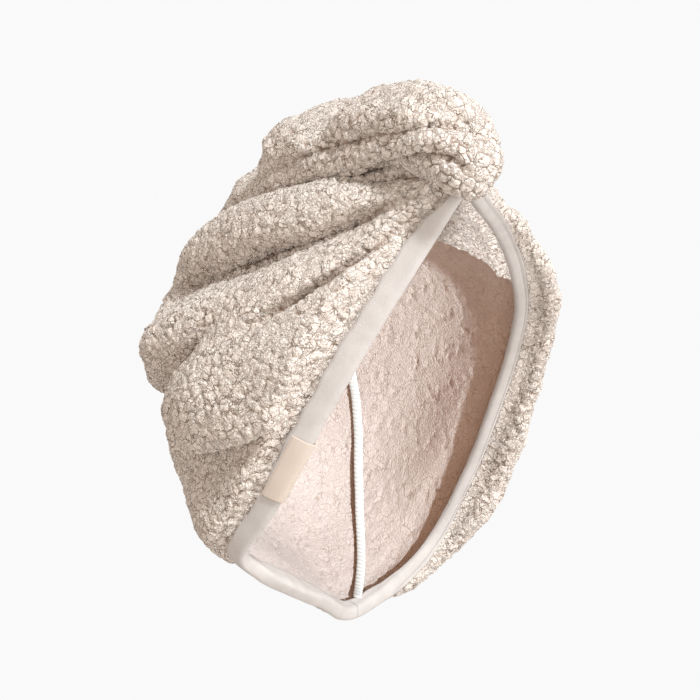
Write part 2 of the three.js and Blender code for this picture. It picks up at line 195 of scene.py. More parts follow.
FOLDS = (
    Fold("bed_of_the_tail", -12, 17, 17,
         ((0, 0.2), (0, 0.3), (0, 0.45), (0, 0.6), (0, 0.75), (0, 0.9))),
    Fold("beside_the_tail_right", -11, 8, 7,
         ((-0.003, 0.15), (0.005, 0.212), (0.014, 0.28), (0.021, 0.357), (0.031, 0.42),
          (0.046, 0.495), (0.06, 0.6), (0.07, 0.72)), 0, 1.4, 2.0),
    Fold("short_from_the_knot", -6, 5, 6,
         ((-0.006, 0.065), (0.003, 0.095), (0.01, 0.13), (0.016, 0.165), (0.026, 0.2),
          (0.04, 0.26)), 1.5, 1.3, 2.0),
    Fold("deep", -17, 6, 12,
         ((0.01, 0.065), (0.024, 0.098), (0.046, 0.143), (0.066, 0.21), (0.082, 0.265),
          (0.096, 0.33), (0.112, 0.403), (0.129, 0.503), (0.158, 0.65), (0.19, 0.76)),
         4, 1.5, 2.5),
    Fold("beside_the_tape", -4, 4, 5,
         ((0.01, 0.05), (0.04, 0.07), (0.061, 0.088), (0.087, 0.12), (0.103, 0.145),
          (0.118, 0.175), (0.131, 0.2), (0.152, 0.235)), 1.0, 1.3, 4.0),
    Fold("under_the_back_bump", -7, 6, 8,
         ((0.145, 0.31), (0.167, 0.35), (0.197, 0.405), (0.243, 0.5), (0.29, 0.57),
          (0.33, 0.61)), 2, 1.6, 1.5),
    Fold("under_the_lower_bulge", -9, 5, 15,
         ((0.185, 0.06), (0.196, 0.083), (0.211, 0.135), (0.244, 0.24), (0.267, 0.36),
          (0.29, 0.46)), 4, 1.7),
    Fold("beside_the_tail_left", -8, 10, 10,
         ((-0.008, 0.2), (-0.022, 0.36), (-0.03, 0.5), (-0.036, 0.66), (-0.03, 0.78)), 0, 1.5),
    Fold("upper_left", -7, 11, 10,
         ((-0.02, 0.14), (-0.05, 0.25), (-0.085, 0.39), (-0.125, 0.53), (-0.18, 0.66)), 2, 1.5),
    Fold("middle_left", -5, 10, 11,
         ((-0.05, 0.13), (-0.1, 0.2), (-0.16, 0.29), (-0.22, 0.4), (-0.27, 0.5)), 2, 1.5),
    Fold("right_of_the_tail_back", -5, 9, 9,
         ((0.46, 0.2), (0.44, 0.4), (0.4, 0.58), (0.34, 0.72)), 0, 1.6),
    Fold("left_of_the_tail_back", -5, 9, 9,
         ((0.52, 0.2), (0.55, 0.4), (0.6, 0.56), (0.66, 0.7)), 0, 1.6),
    Fold("back_bump", 7, 12, 12,
         ((0.14, 0.34), (0.165, 0.42), (0.195, 0.49), (0.23, 0.55), (0.27, 0.6),
          (0.32, 0.65))),
    Fold("lower_bulge", 6, 14, 14,
         ((0.15, 0.24), (0.19, 0.28), (0.225, 0.31), (0.25, 0.31))),
)

TAIL_FOLDS = (
    Fold("over_the_knot", -5.5, 8, 6,
         ((0.56, 150), (0.5, 158), (0.442, 163), (0.39, 171), (0.34, 170), (0.303, 172),
          (0.265, 171), (0.225, 158), (0.197, 139), (0.182, 123), (0.172, 109), (0.155, 90),
          (0.13, 68), (0.1, 40)), 0, 1.5, 2.0),
    Fold("under_the_knot", -4.0, 6, 6,
         ((0.4, 226), (0.357, 231), (0.315, 234), (0.28, 228), (0.243, 218), (0.205, 202),
          (0.172, 184), (0.133, 155), (0.108, 140), (0.085, 132)), 0, 1.4, 2.5),
    Fold("right_of_the_lump", -7.0, 6, 6,
         ((0.34, 60), (0.348, 80), (0.356, 100), (0.362, 117), (0.364, 128), (0.37, 142),
          (0.38, 160)), 0, 1.5, 2.0),
    Fold("left_of_the_lump", -9.5, 9, 7,
         ((0.485, 55), (0.49, 75), (0.49, 95), (0.487, 115), (0.483, 135), (0.485, 158)),
         0, 1.5, 1.5),
    Fold("lump", 3.5, 9, 9, ((0.4, 110), (0.42, 125), (0.44, 142))),
    Fold("small_bump", 1.5, 6, 6, ((0.31, 105), (0.325, 112))),
    Fold("top_of_the_knot", -2.5, 5, 5,
         ((0.26, 95), (0.233, 104), (0.212, 106), (0.19, 98), (0.165, 82), (0.14, 60)),
         0, 1.4, 0.5),
    Fold("left_side", -5.5, 8, 8,
         ((0.12, -10), (0.18, -2), (0.26, 8), (0.36, 14), (0.46, 30), (0.56, 55), (0.66, 85),
          (0.76, 120), (0.86, 150)), 0, 1.5, 2.0),
    Fold("left_under", -5.0, 8, 8,
         ((0.2, -60), (0.3, -48), (0.42, -30), (0.54, -10), (0.66, 15), (0.78, 45), (0.9, 80)),
         0, 1.5, 2.0),
    Fold("crown_back", -4.5, 8, 8,
         ((0.58, 130), (0.66, 150), (0.74, 175), (0.84, 205)), 0, 1.5, 1.5),
)

TAIL = (
    TailStation(-2, -116, -7, 4, 3), TailStation(-3, -122, -4, 11, 9),
    TailStation(-3, -128, 4, 15, 14), TailStation(-3, -130, 15, 17, 16),
    TailStation(-2, -124, 30, 19, 15), TailStation(-1, -110, 46, 21, 15),
    TailStation(0, -93, 63, 22, 16), TailStation(2, -72, 76, 22, 16),
    TailStation(4, -47, 87, 22, 16), TailStation(5, -17, 96, 22, 15),
    TailStation(4, 17, 98, 21, 15), TailStation(2, 50, 91, 19, 14),
    TailStation(0, 80, 73, 17, 13), TailStation(-3, 101, 53, 13, 11),
    TailStation(-5, 110, 41, 9, 8), TailStation(-5, 113, 36, 4, 3),
)

SEAM_ROUTE = (
    (0.497, 0.03), (0.511, 0.07), (0.536, 0.147), (0.568, 0.245), (0.593, 0.312),
    (0.622, 0.367), (0.648, 0.415), (0.68, 0.5), (0.71, 0.62),
)

BROW_ROUTE = (
    (0.8, 0.004), (0.822, 0.012), (0.84, 0.04), (0.849, 0.085), (0.853, 0.14),
    (0.856, 0.2), (0.862, 0.26), (0.88, 0.33), (0.915, 0.38), (0.96, 0.39), (1.0, 0.36),
    (1.03, 0.27), (1.045, 0.14), (1.05, 0.004),
)

NAPE_TURN = 0.487


class Piece(Enum):
    """Names of the pieces that the scene makes."""

    OUTER_RIGHT = "terry_outer_right"
    OUTER_LEFT = "terry_outer_left"
    INNER_RIGHT = "terry_inner_right"
    INNER_LEFT = "terry_inner_left"
    BROW = "terry_brow_fold"
    TAIL = "terry_tail"
    TAPE_RIGHT = "tape_right"
    TAPE_LEFT = "tape_left"
    LABEL = "label_bare"
    SEAM = "seam_overlock"
    BUTTON = "button_sewn"


@dataclass(frozen=True)
class Detail:
    """How many cells each mesh has."""

    around: int
    outer_rows: int
    inner_around: int
    inner_rows: int
    brow_steps: int
    brow_rows: int
    tail_steps: int
    tail_sides: int
    tape_steps: int
    seam_steps: int


FULL_DETAIL = Detail(760, 250, 420, 190, 300, 90, 500, 150, 420, 760)


def smoothstep(value: Array | float, low: float, high: float) -> Array:
    """Smooth step from 0 at low to 1 at high."""
    part = np.clip((np.asarray(value, float) - low) / (high - low), 0.0, 1.0)
    return part * part * (3.0 - 2.0 * part)


def unit(vectors: Array) -> Array:
    """Vectors scaled to a length of 1."""
    return vectors / np.maximum(np.linalg.norm(vectors, axis=-1, keepdims=True), 1e-9)


def place(side: Array, along: Array, height: Array) -> Array:
    """A place from its side, its way along the opening and its height over it."""
    cos, sin = math.cos(OPENING_TILT), math.sin(OPENING_TILT)
    side, along, height = np.broadcast_arrays(side, along, height)
    return np.stack([side, along * cos + height * sin, -along * sin + height * cos], -1)


def tree_of(points: Sequence[Array]) -> KDTree:
    """A search tree of points."""
    tree = KDTree(len(points))
    for index, point in enumerate(points):
        tree.insert(point, index)
    tree.balance()
    return tree


def shut_tube(points: Array) -> None:
    """Joins a tube's last column to its first, and draws both of its ends together."""
    points[:, -1] = points[:, 0]
    for end in (0, -1):
        points[end] = points[end, :-1].mean(0)


def link_object(name: str, data: bpy.types.ID) -> bpy.types.Object:
    """A new object, linked to the scene."""
    thing = bpy.data.objects.new(name, data)
    bpy.context.scene.collection.objects.link(thing)
    return thing


def smooth_object(mesh: bpy.types.Mesh) -> bpy.types.Object:
    """A smoothly shaded object of a mesh, with its name."""
    mesh.polygons.foreach_set("use_smooth", np.ones(len(mesh.polygons), bool))
    mesh.update()
    return link_object(mesh.name, mesh)


def spline(points: Array, closed: bool, samples: int) -> Array:
    """A centripetal curve through points.

    Args:
        points: the points, one a row.
        closed: whether the curve returns to its first point.
        samples: points made for each stretch.

    Returns:
        The sampled curve, its last point included.
    """
    count = len(points)
    if closed:
        rows = [points[(i + k) % count] for i in range(count) for k in (-1, 0, 1, 2)]
    else:
        padded = np.vstack([2 * points[0] - points[1], points, 2 * points[-1] - points[-2]])
        rows = [padded[i + k] for i in range(count - 1) for k in range(4)]
    quads = np.array(rows).reshape(-1, 4, points.shape[1])
    gaps = np.sqrt(np.linalg.norm(np.diff(quads, axis=1), axis=2))[:, :, None] + 1e-9
    first, second, third = gaps[:, 0], gaps[:, 1], gaps[:, 2]
    before, start, end, after = (quads[:, k] for k in range(4))
    leave = ((start - before) / first - (end - before) / (first + second)
             + (end - start) / second) * second
    reach = ((end - start) / second - (after - start) / (second + third)
             + (after - end) / third) * second
    at = (np.arange(samples) / samples)[None, :, None]
    start, end, leave, reach = (v[:, None] for v in (start, end, leave, reach))
    curve = (start + leave * at + (3 * (end - start) - 2 * leave - reach) * at ** 2
             + (2 * (start - end) + leave + reach) * at ** 3)
    last = points[:1] if closed else points[-1:]
    return np.vstack([curve.reshape(-1, points.shape[1]), last])


class Form:
    """The worn shape of the towel: opening, dome, folds and faces of the cap."""

    def __init__(self) -> None:
        """Samples the outline of the opening."""
        outline = np.array([[p.side, p.along, p.lift] for p in OPENING], float)
        self.rim = spline(outline, True, 240)
        steps = np.linalg.norm(np.diff(self.rim, axis=0), axis=1)
        self.rim_part = np.concatenate([[0.0], np.cumsum(steps)]) / steps.sum()

    def spot(self, turn: Array) -> Array:
        """The outline of the opening at a turn."""
        at = np.mod(turn, 1.0)
        return np.stack([np.interp(at, self.rim_part, self.rim[:, k]) for k in range(3)], -1)

    def rim_at(self, turn: Array, rise: Array) -> Array:
        """The outline, its corners eased away with the rise."""
        rim = self.spot(turn)
        mean = rim.copy()
        for step in EASE_TURNS:
            mean += self.spot(turn - step) + self.spot(turn + step)
        mean /= 2 * len(EASE_TURNS) + 1
        return rim + (mean - rim) * smoothstep(rise, 0, EASE_RISE)[..., None]

    @staticmethod
    def around(column: str, turn: Array) -> Array:
        """A column of the fullness table at a turn."""
        turns = np.array([row.turn for row in FULLNESS] + [1.0])
        values = np.array([getattr(row, column) for row in FULLNESS] + [
            getattr(FULLNESS[0], column)], float)
        at = np.mod(turn, 1.0)
        low = np.clip(np.searchsorted(turns, at, side="right") - 1, 0, len(turns) - 2)
        part = (at - turns[low]) / (turns[low + 1] - turns[low])
        return values[low] + (values[low + 1] - values[low]) * (1 - np.cos(part * np.pi)) / 2

    def dome(self, turn: Array, rise: Array, hemmed: bool = True) -> Array:
        """The plain dome, from the rim (rise 0) to the crown (rise 1).

        Args:
            turn: the way around the rim, as a share.
            rise: the way up, as a share.
            hemmed: whether the hem is turned in under it.

        Returns:
            Points in millimetres.
        """
        turn, rise = np.broadcast_arrays(np.asarray(turn, float), np.asarray(rise, float))
        rim = self.rim_at(turn, rise)
        out = rim[..., :2] - np.array([CROWN_SIDE, CROWN_ALONG])
        length = np.linalg.norm(out, axis=-1)
        hem = self.around("hem", turn) if hemmed else np.zeros_like(turn)
        squeeze = HEM.squeeze * (hem / HEM.most) * np.exp(-((rise / HEM.squeeze_rise) ** 2))
        up = rise * (1 - squeeze)
        roll = hem * (1 - up ** 3)
        swell = self.around("swell", turn) * np.sin(np.pi * np.maximum(up, 0) ** 0.65)
        spread = roll * HEM.spread * _hump(up, HEM.spread_peak)
        height = (CROWN_HEIGHT * np.sin(up * np.pi / 2)
                  - roll * HEM.drop * _hump(up, HEM.drop_peak) + rim[..., 2] * (1 - up) ** 2)
        reach = length * np.cos(up * np.pi / 2) + swell + spread
        return place(CROWN_SIDE + out[..., 0] / length * reach,
                     CROWN_ALONG + out[..., 1] / length * reach, height)

    def normal(self, turn: Array, rise: Array, hemmed: bool = True) -> Array:
        """Outward direction of the dome."""
        step = NORMAL_STEP
        low = np.minimum(rise, NORMAL_LAST)
        round_way = self.dome(turn + step, low, hemmed) - self.dome(turn - step, low, hemmed)
        up_way = (self.dome(turn, low + step, hemmed)
                  - self.dome(turn, np.maximum(low - step, 0), hemmed))
        return unit(np.cross(up_way, round_way))

    def fold_shift(self, turn: Array, rise: Array) -> tuple[Array, Array, Array]:
        """How the folds move the cloth at places of the dome.

        Args:
            turn: turns of the places.
            rise: rises of the places.

        Returns:
            The lift along the normal and the lean along the cloth, in millimetres, and 0 on
            plain cloth to 1 in the slits, where painted shade is mixed into the colour.
        """
        lines = [(fold, spline(self.dome(*np.array(fold.route, float).T), False, 6))
                 for fold in FOLDS]
        return fold_cloth(self.dome(turn, rise), self.normal(turn, rise), lines)

    def outside(self, turn: Array, rise: Array, lift: Array, lean: Array) -> Array:
        """Outer face of the cap, with its gathered cloth and its folds."""
        free = smoothstep(rise, *FREE_RISES)
        evened = smoothstep(rise, *EVEN_RISES)
        loft = self.around("loft", turn) * (1 - evened) + CROWN_LOFT * evened
        raised = free * np.maximum(loft + lift * (1 - evened), LEAST_LOFT)
        shifted = lean * (free * (1 - evened))[..., None]
        return self.dome(turn, rise) + self.normal(turn, rise) * raised[..., None] + shifted

    def inside(self, turn: Array, rise: Array, extra: float = 0.0) -> Array:
        """Inner face of the cap."""
        wall = EDGE_WALL + (WALL - EDGE_WALL) * smoothstep(rise, *WALL_RISES)
        offset = (-(wall + extra))[..., None]
        return self.dome(turn, rise, False) + self.normal(turn, rise, False) * offset


def fold_cloth(points: Array, normals: Array,
               lines: Sequence[tuple[Fold, Array]]) -> tuple[Array, Array, Array]:
    """How folds along lines move the cloth.

    Args:
        points: a table of points of the plain cloth.
        normals: its outward directions.
        lines: each fold with the line that it follows on the plain cloth.

    Returns:
        The lift along the normal and the lean along the cloth, in millimetres, and 0 on
        plain cloth to 1 in the slits, where painted shade is mixed into the colour.
    """
    flat, out = points.reshape(-1, 3), normals.reshape(-1, 3)
    lift = np.zeros(len(flat))
    slit_shade = np.zeros(len(flat))
    lean = np.zeros((len(flat), 3))
    for fold, line in lines:
        reach = FOLD.reach * max(fold.above, fold.below)
        low, high = line.min(0) - reach, line.max(0) + reach
        near = np.flatnonzero(((flat > low) & (flat < high)).all(1))
        away, distance, part = _nearest(flat[near], line)
        run = np.gradient(line, axis=0)[np.clip((part * (len(line) - 1)).astype(int),
                                                0, len(line) - 1)]
        side = np.einsum("ij,ij->i", np.cross(away, run), out[near])
        width = np.where(side > 0, fold.above, fold.below)
        soft = smoothstep(part, *FOLD.begin) * smoothstep(FOLD.last - part, *FOLD.end)
        lift[near] += fold.height * soft * np.exp(-((distance / width) ** fold.sharp))
        lift[near] -= fold.slit * np.sqrt(soft) * np.exp(-((distance / FOLD.slit_width) ** 2))
        # The slits' mask of painted shade: the colour darkens along each slit, the more for a
        # deeper slit, up to a millimetre.
        shown = np.sqrt(soft) * np.exp(-((distance / FOLD.slit_shade_width) ** 2))
        slit_shade[near] = np.maximum(slit_shade[near], min(fold.slit, 1.0) * shown)
        over = np.where(side > 0, fold.lean, 0.0) * soft
        over *= np.exp(-(((distance - FOLD.lean_at * width) / (FOLD.lean_width * width)) ** 2))
        lean[near] -= unit(away) * over[:, None]
    shape = points.shape[:-1]
    return lift.reshape(shape), lean.reshape(points.shape), slit_shade.reshape(shape)


def _hump(at: Array, peak: float) -> Array:
    """A hump that is 1 at its peak and dies away slowly."""
    return (at / peak) * np.exp(1 - at / peak)


def _nearest(points: Array, line: Array) -> tuple[Array, Array, Array]:
    """The nearest place on a line to each point.

    Args:
        points: points, one a row.
        line: the line's points.

    Returns:
        The vector from the line to each point, its length, and how far along the line.
    """
    away = np.empty_like(points)
    distance = np.empty(len(points))
    part = np.empty(len(points))
    starts, runs = line[:-1], np.diff(line, axis=0)
    squares = np.maximum((runs ** 2).sum(1), 1e-9)
    for low in range(0, len(points), CHUNK):
        chunk = points[low:low + CHUNK]
        gaps = chunk[:, None] - starts[None]
        share = np.clip((gaps * runs).sum(-1) / squares, 0, 1)
        gaps -= share[..., None] * runs
        far = (gaps ** 2).sum(-1)
        best = far.argmin(1)
        rows = np.arange(len(chunk))
        away[low:low + CHUNK] = gaps[rows, best]
        distance[low:low + CHUNK] = np.sqrt(far[rows, best])
        part[low:low + CHUNK] = (best + share[rows, best]) / len(runs)
    return away, distance, part


def waves(points: Array, length: float, seed: int) -> Array:
    """Soft random swell of the cloth, about -1 to 1.

    Args:
        points: where it is read, in millimetres.
        length: the wave length.
        seed: seed of the directions.

    Returns:
        One value for each point.
    """
    rng = np.random.default_rng(seed)
    total = np.zeros(points.shape[:-1])
    for _ in range(WAVE_COUNT):
        way = unit(rng.normal(size=3)) * (2 * np.pi / (length * rng.uniform(0.7, 1.4)))
        total += np.sin(points @ way + rng.uniform(0, 2 * np.pi))
    return total / math.sqrt(WAVE_COUNT)


def grid_normals(points: Array) -> Array:
    """Normals of a table of points, by the differences between its rows and columns."""
    return unit(np.cross(np.gradient(points, axis=0), np.gradient(points, axis=1)))


@dataclass(frozen=True)
class Nubs:
    """The little terry nubs of a face, in millimetres and as shares of their pitch.

    They are drawn at random, with so many tries for each square of the pitch, and kept where
    they stand apart. Their ground plan is bent, and their tops are partly round and rough.
    """

    pitch: float
    height: float
    seed: int
    tries: int = 9
    stray: float = 0.25
    apart: float = 0.86
    statures: tuple[float, float] = (0.7, 1.2)
    bend: float = 0.16
    bend_length: float = 5.0
    round_to: float = 0.8
    crevice: float = 0.22
    flat_part: float = 0.55
    round_part: float = 0.45
    rough: float = 0.16
    rough_length: float = 2.4

    def scatter(self, points: Array) -> tuple[KDTree, Array]:
        """Spreads the nubs evenly over a face.

        Args:
            points: the face as rows and columns of points.

        Returns:
            A search tree of their places, and how tall each of them stands.
        """
        rng = np.random.default_rng(self.seed)
        area = np.linalg.norm(np.cross(np.gradient(points, axis=0),
                                       np.gradient(points, axis=1)), axis=-1).ravel()
        flat = points.reshape(-1, 3)
        wanted = int(area.sum() / self.pitch ** 2 * self.tries)
        picks = flat[rng.choice(len(flat), wanted, p=area / area.sum())]
        picks = picks + rng.normal(scale=self.stray, size=picks.shape)
        spacing = self.pitch * self.apart
        kept: list[Array] = []
        cells: dict[tuple[int, int, int], list[Array]] = {}
        around = [(i, j, k) for i in (-1, 0, 1) for j in (-1, 0, 1) for k in (-1, 0, 1)]
        for pick, (i, j, k) in zip(picks, np.floor(picks / spacing).astype(int)):
            near = (q for a, b, c in around for q in cells.get((i + a, j + b, k + c), ()))
            if all(((pick - q) ** 2).sum() >= spacing ** 2 for q in near):
                cells.setdefault((i, j, k), []).append(pick)
                kept.append(pick)
        log.info("%d nubs", len(kept))
        return tree_of(kept), rng.uniform(*self.statures, len(kept))

    def cover(self, points: Array, sown: Array) -> tuple[Array, Array]:
        """Height of the nubs over a face.

        Args:
            points: the face as rows and columns of points.
            sown: the face without its doubled columns, on which the nubs are scattered.

        Returns:
            The height in millimetres, and 0 in the crevices to 1 on the tops.
        """
        tree, statures = self.scatter(sown)
        flat = points.reshape(-1, 3)
        bent = flat + self.bend * self.pitch * np.stack(
            [waves(flat, self.bend_length, self.seed + k + 50) for k in range(3)], -1)
        near, gap, stature = np.empty((3, len(flat)))
        for index, point in enumerate(bent):
            (_, first, nearest), (_, _, second) = tree.find_n(point, 2)
            near[index], gap[index], stature[index] = nearest, second - nearest, statures[first]
        body = np.sqrt(np.clip(1 - (near / (self.round_to * self.pitch)) ** 2, 0, 1))
        split = smoothstep(gap / self.pitch, 0.0, self.crevice)
        top = split * (self.flat_part + self.round_part * body)
        rough = self.rough * waves(flat, self.rough_length, self.seed + 70)
        shape = points.shape[:-1]
        return ((self.height * stature * (top + rough * split)).reshape(shape),
                split.reshape(shape))


def sheet_object(name: str, points: Array, marks: dict[str, Array],
                 turned: bool = False) -> bpy.types.Object:
    """An object from a table of points in millimetres, its doubled vertices joined.

    Args:
        name: name of the object.
        points: rows and columns of points.
        marks: values kept on the vertices for the material, as tables of that shape.
        turned: whether the faces are turned over, to look outwards.

    Returns:
        The object, linked to the scene.
    """
    rows, columns = points.shape[0] - 1, points.shape[1] - 1
    build = bmesh.new()
    bmesh.ops.create_grid(build, x_segments=columns, y_segments=rows, size=1.0)
    mesh = bpy.data.meshes.new(name)
    build.to_mesh(mesh)
    flat = np.empty(len(mesh.vertices) * 3)
    mesh.vertices.foreach_get("co", flat)
    column, row = (np.rint((flat[k::3] + 1) / 2 * cells).astype(int)
                   for k, cells in enumerate((columns, rows)))
    mesh.vertices.foreach_set("co", (points[row, column] * MM).astype(np.float32).ravel())
    for mark, table in marks.items():
        layer = mesh.attributes.new(mark, "FLOAT", "POINT")
        layer.data.foreach_set("value", table[row, column].astype(np.float32))
    uv_layer = mesh.uv_layers.new(name="cloth")
    loops = np.empty(len(mesh.loops), int)
    mesh.loops.foreach_get("vertex_index", loops)
    places = np.stack([column / columns, row / rows], -1)[loops]
    uv_layer.data.foreach_set("uv", places.astype(np.float32).ravel())
    build.clear()
    build.from_mesh(mesh)
    bmesh.ops.remove_doubles(build, verts=build.verts, dist=WELD)
    if turned:
        bmesh.ops.reverse_faces(build, faces=build.faces)
    build.to_mesh(mesh)
    build.free()
    return smooth_object(mesh)


@dataclass(frozen=True)
class TerryLook:
    """Colours of a terry face: cream tops, and a low colour of painted shade between loops, in
    crevices, slits and the fine cracks between its tufts.
    """

    name: str
    top: Colour
    # The low colour is painted shade; the next fields say how much of it is painted in the
    # crevices between nubs, between the loops and in the fine cracks.
    low: Colour
    crevice: float
    loop_shade_amount: float
    loop_mm: float
    bump_mm: float
    crack: float
    crack_mm: float


# The low colours below are painted shade.
OUTER_TERRY = TerryLook("terry_outer", (0.93, 0.875, 0.82), (0.27, 0.145, 0.08), 0.75, 0.26,
                        0.95, 0.55, 0.85, 4.4)
# The inner face's top is its own pinkish beige, but darker and warmer than the outer face's,
# partly as painted shade, so that the light bounced in the hollow turns brown.
INNER_TERRY = TerryLook("terry_inner", (0.77, 0.64, 0.57), (0.36, 0.2, 0.125), 0.5, 0.18,
                        0.8, 0.2, 0.55, 3.4)


@dataclass(frozen=True)
class PileGrain:
    """The looped pile's texture: scales for each metre, reaches, shares and ranges, with those of
    its painted shade between loops and in cracks.
    """

    bend: tuple[float, float, float] = (420.0, 2.0, 0.5)
    bend_reach: float = 0.0012
    stray: tuple[float, float, float] = (230.0, 3.0, 0.6)
    stray_reach: float = 0.006
    fibre: tuple[float, float, float] = (1500.0, 4.0, 0.65)
    patch: tuple[float, float, float] = (34.0, 3.0, 0.6)
    gate: tuple[float, float, float] = (170.0, 2.0, 0.5)
    loop_part: float = 0.65
    fibre_part: float = 0.5
    # Range of loop height over which painted shade darkens the low places between loops.
    loop_shade: tuple[float, float] = (0.5, 0.22)
    # Widths and depth of the painted shade in the fine cracks between tufts, and how much finer
    # the second cracks are.
    line_width: float = 0.06
    curl_width: float = 0.1
    curl_depth: float = 0.6
    curl_finer: float = 2.4
    patch_tint: Colour = (0.86, 0.80, 0.78)
    patch_depth: float = 0.25


@dataclass(frozen=True)
class Shine:
    """How a surface shines."""

    roughness: float
    specular: float
    sheen: float = 0.0
    sheen_roughness: float = 0.5
    sheen_tint: Colour = (1.0, 1.0, 1.0)
    coat: float = 0.0
    coat_roughness: float = 0.3


@dataclass(frozen=True)
class Finish:
    """A plain finish: two colours that its texture mixes, its relief and how it shines."""

    name: str
    first: Colour
    second: Colour
    relief_mm: float
    relief: float
    shine: Shine


GRAIN = PileGrain()
TERRY_SHINE = Shine(0.95, 0.15, 0.25, 0.6, (1.0, 0.95, 0.9))
TAPE = Finish("tape_knit", (0.57, 0.545, 0.53), (0.62, 0.595, 0.58), 0.12, 0.7,
              Shine(0.72, 0.3, 0.15, 0.4))
SATIN = Finish("label_satin", (0.71, 0.62, 0.545), (0.82, 0.765, 0.7), 0.08, 0.8,
               Shine(0.55, 0.35, 0.2, 0.35))
# Colour of the painted shade in the gaps of the label's weave.
SATIN_GAP_SHADE = (0.5, 0.4, 0.33)
# The thread's second colour is painted shade, mixed in between its stitches.
THREAD = Finish("thread_white", (0.87, 0.855, 0.81), (0.56, 0.46, 0.38), 0.15, 1.0,
                Shine(0.8, 0.2, 0.2))
RESIN = Finish("button_resin", (0.78, 0.68, 0.59), (0.86, 0.79, 0.71), 0.03, 0.6,
               Shine(0.38, 0.5, coat=0.15))


class Shader:
    """A short hand for building a node tree."""

    def __init__(self, tree: bpy.types.NodeTree) -> None:
        """Starts from an empty tree."""
        self.tree = tree
        tree.nodes.clear()

    def add(self, kind: str, settings: dict[str, object] | None = None,
            inputs: dict[str, object] | None = None) -> bpy.types.Node:
        """Adds a node.

        Args:
            kind: the node's type name.
            settings: its properties.
            inputs: its socket values, or sockets to link from.

        Returns:
            The node.
        """
        node = self.tree.nodes.new(kind)
        for key, value in (settings or {}).items():
            setattr(node, key, value)
        for key, value in (inputs or {}).items():
            self.feed(node.inputs[key], value)
        return node

    def feed(self, socket: bpy.types.NodeSocket, value: object) -> None:
        """Links a socket to an input, or sets its value."""
        if isinstance(value, bpy.types.NodeSocket):
            self.tree.links.new(value, socket)
        else:
            socket.default_value = value

    def mix(self, factor: object, first: object, second: object,
            blend: str = "MIX") -> bpy.types.NodeSocket:
        """Mixes two colours."""
        node = self.add("ShaderNodeMix", {"data_type": "RGBA", "blend_type": blend})
        sockets = [s for s in node.inputs if s.name == "Factor" and s.type == "VALUE"][:1]
        sockets += [s for s in node.inputs if s.type == "RGBA"]
        for socket, value in zip(sockets, (factor, first, second)):
            self.feed(socket, value)
        return next(s for s in node.outputs if s.type == "RGBA")

    def math(self, operation: str, first: object, second: object) -> bpy.types.NodeSocket:
        """Works out a number."""
        node = self.add("ShaderNodeMath", {"operation": operation}, {0: first, 1: second})
        return node.outputs[0]

    def span(self, value: object, low: float, high: float, start: float = 0.0,
             end: float = 1.0) -> bpy.types.NodeSocket:
        """Maps a range onto another, smoothly and clamped."""
        node = self.add("ShaderNodeMapRange", {"interpolation_type": "SMOOTHSTEP"}, {
            "Value": value, "From Min": low, "From Max": high, "To Min": start, "To Max": end})
        return node.outputs[0]

    def where(self) -> bpy.types.NodeSocket:
        """Object coordinates."""
        return self.add("ShaderNodeTexCoord").outputs["Object"]

    def noise(self, where: object, scale: float, detail: float, rough: float = 0.5,
              distortion: float = 0.0) -> bpy.types.Node:
        """A noise texture."""
        return self.add("ShaderNodeTexNoise", None, {
            "Vector": where, "Scale": scale, "Detail": detail, "Roughness": rough,
            "Distortion": distortion})

    def bent(self, where: object, noise: tuple[float, float, float],
             reach: float) -> bpy.types.NodeSocket:
        """Places that a noise moves by up to its reach, in metres."""
        return self.add("ShaderNodeVectorMath", {"operation": "MULTIPLY_ADD"}, {
            0: self.noise(where, *noise).outputs["Color"], 1: (reach,) * 3,
            2: where}).outputs[0]

    def bump(self, height: object, depth_mm: float, strength: float) -> bpy.types.NodeSocket:
        """Normals of a relief."""
        return self.add("ShaderNodeBump", None, {
            "Height": height, "Distance": depth_mm * MM, "Strength": strength}).outputs[0]

    def end(self, colour: object, normal: object, shine: Shine) -> None:
        """Ends the tree in one shader."""
        last = self.add("ShaderNodeBsdfPrincipled", None, {
            "Base Color": colour, "Normal": normal, "Roughness": shine.roughness,
            "Specular IOR Level": shine.specular, "Sheen Weight": shine.sheen,
            "Sheen Roughness": shine.sheen_roughness, "Sheen Tint": rgba(shine.sheen_tint),
            "Coat Weight": shine.coat, "Coat Roughness": shine.coat_roughness})
        self.add("ShaderNodeOutputMaterial", None, {"Surface": last.outputs[0]})


def rgba(colour: Sequence[float]) -> tuple[float, float, float, float]:
    """A colour with full alpha."""
    return colour[0], colour[1], colour[2], 1.0


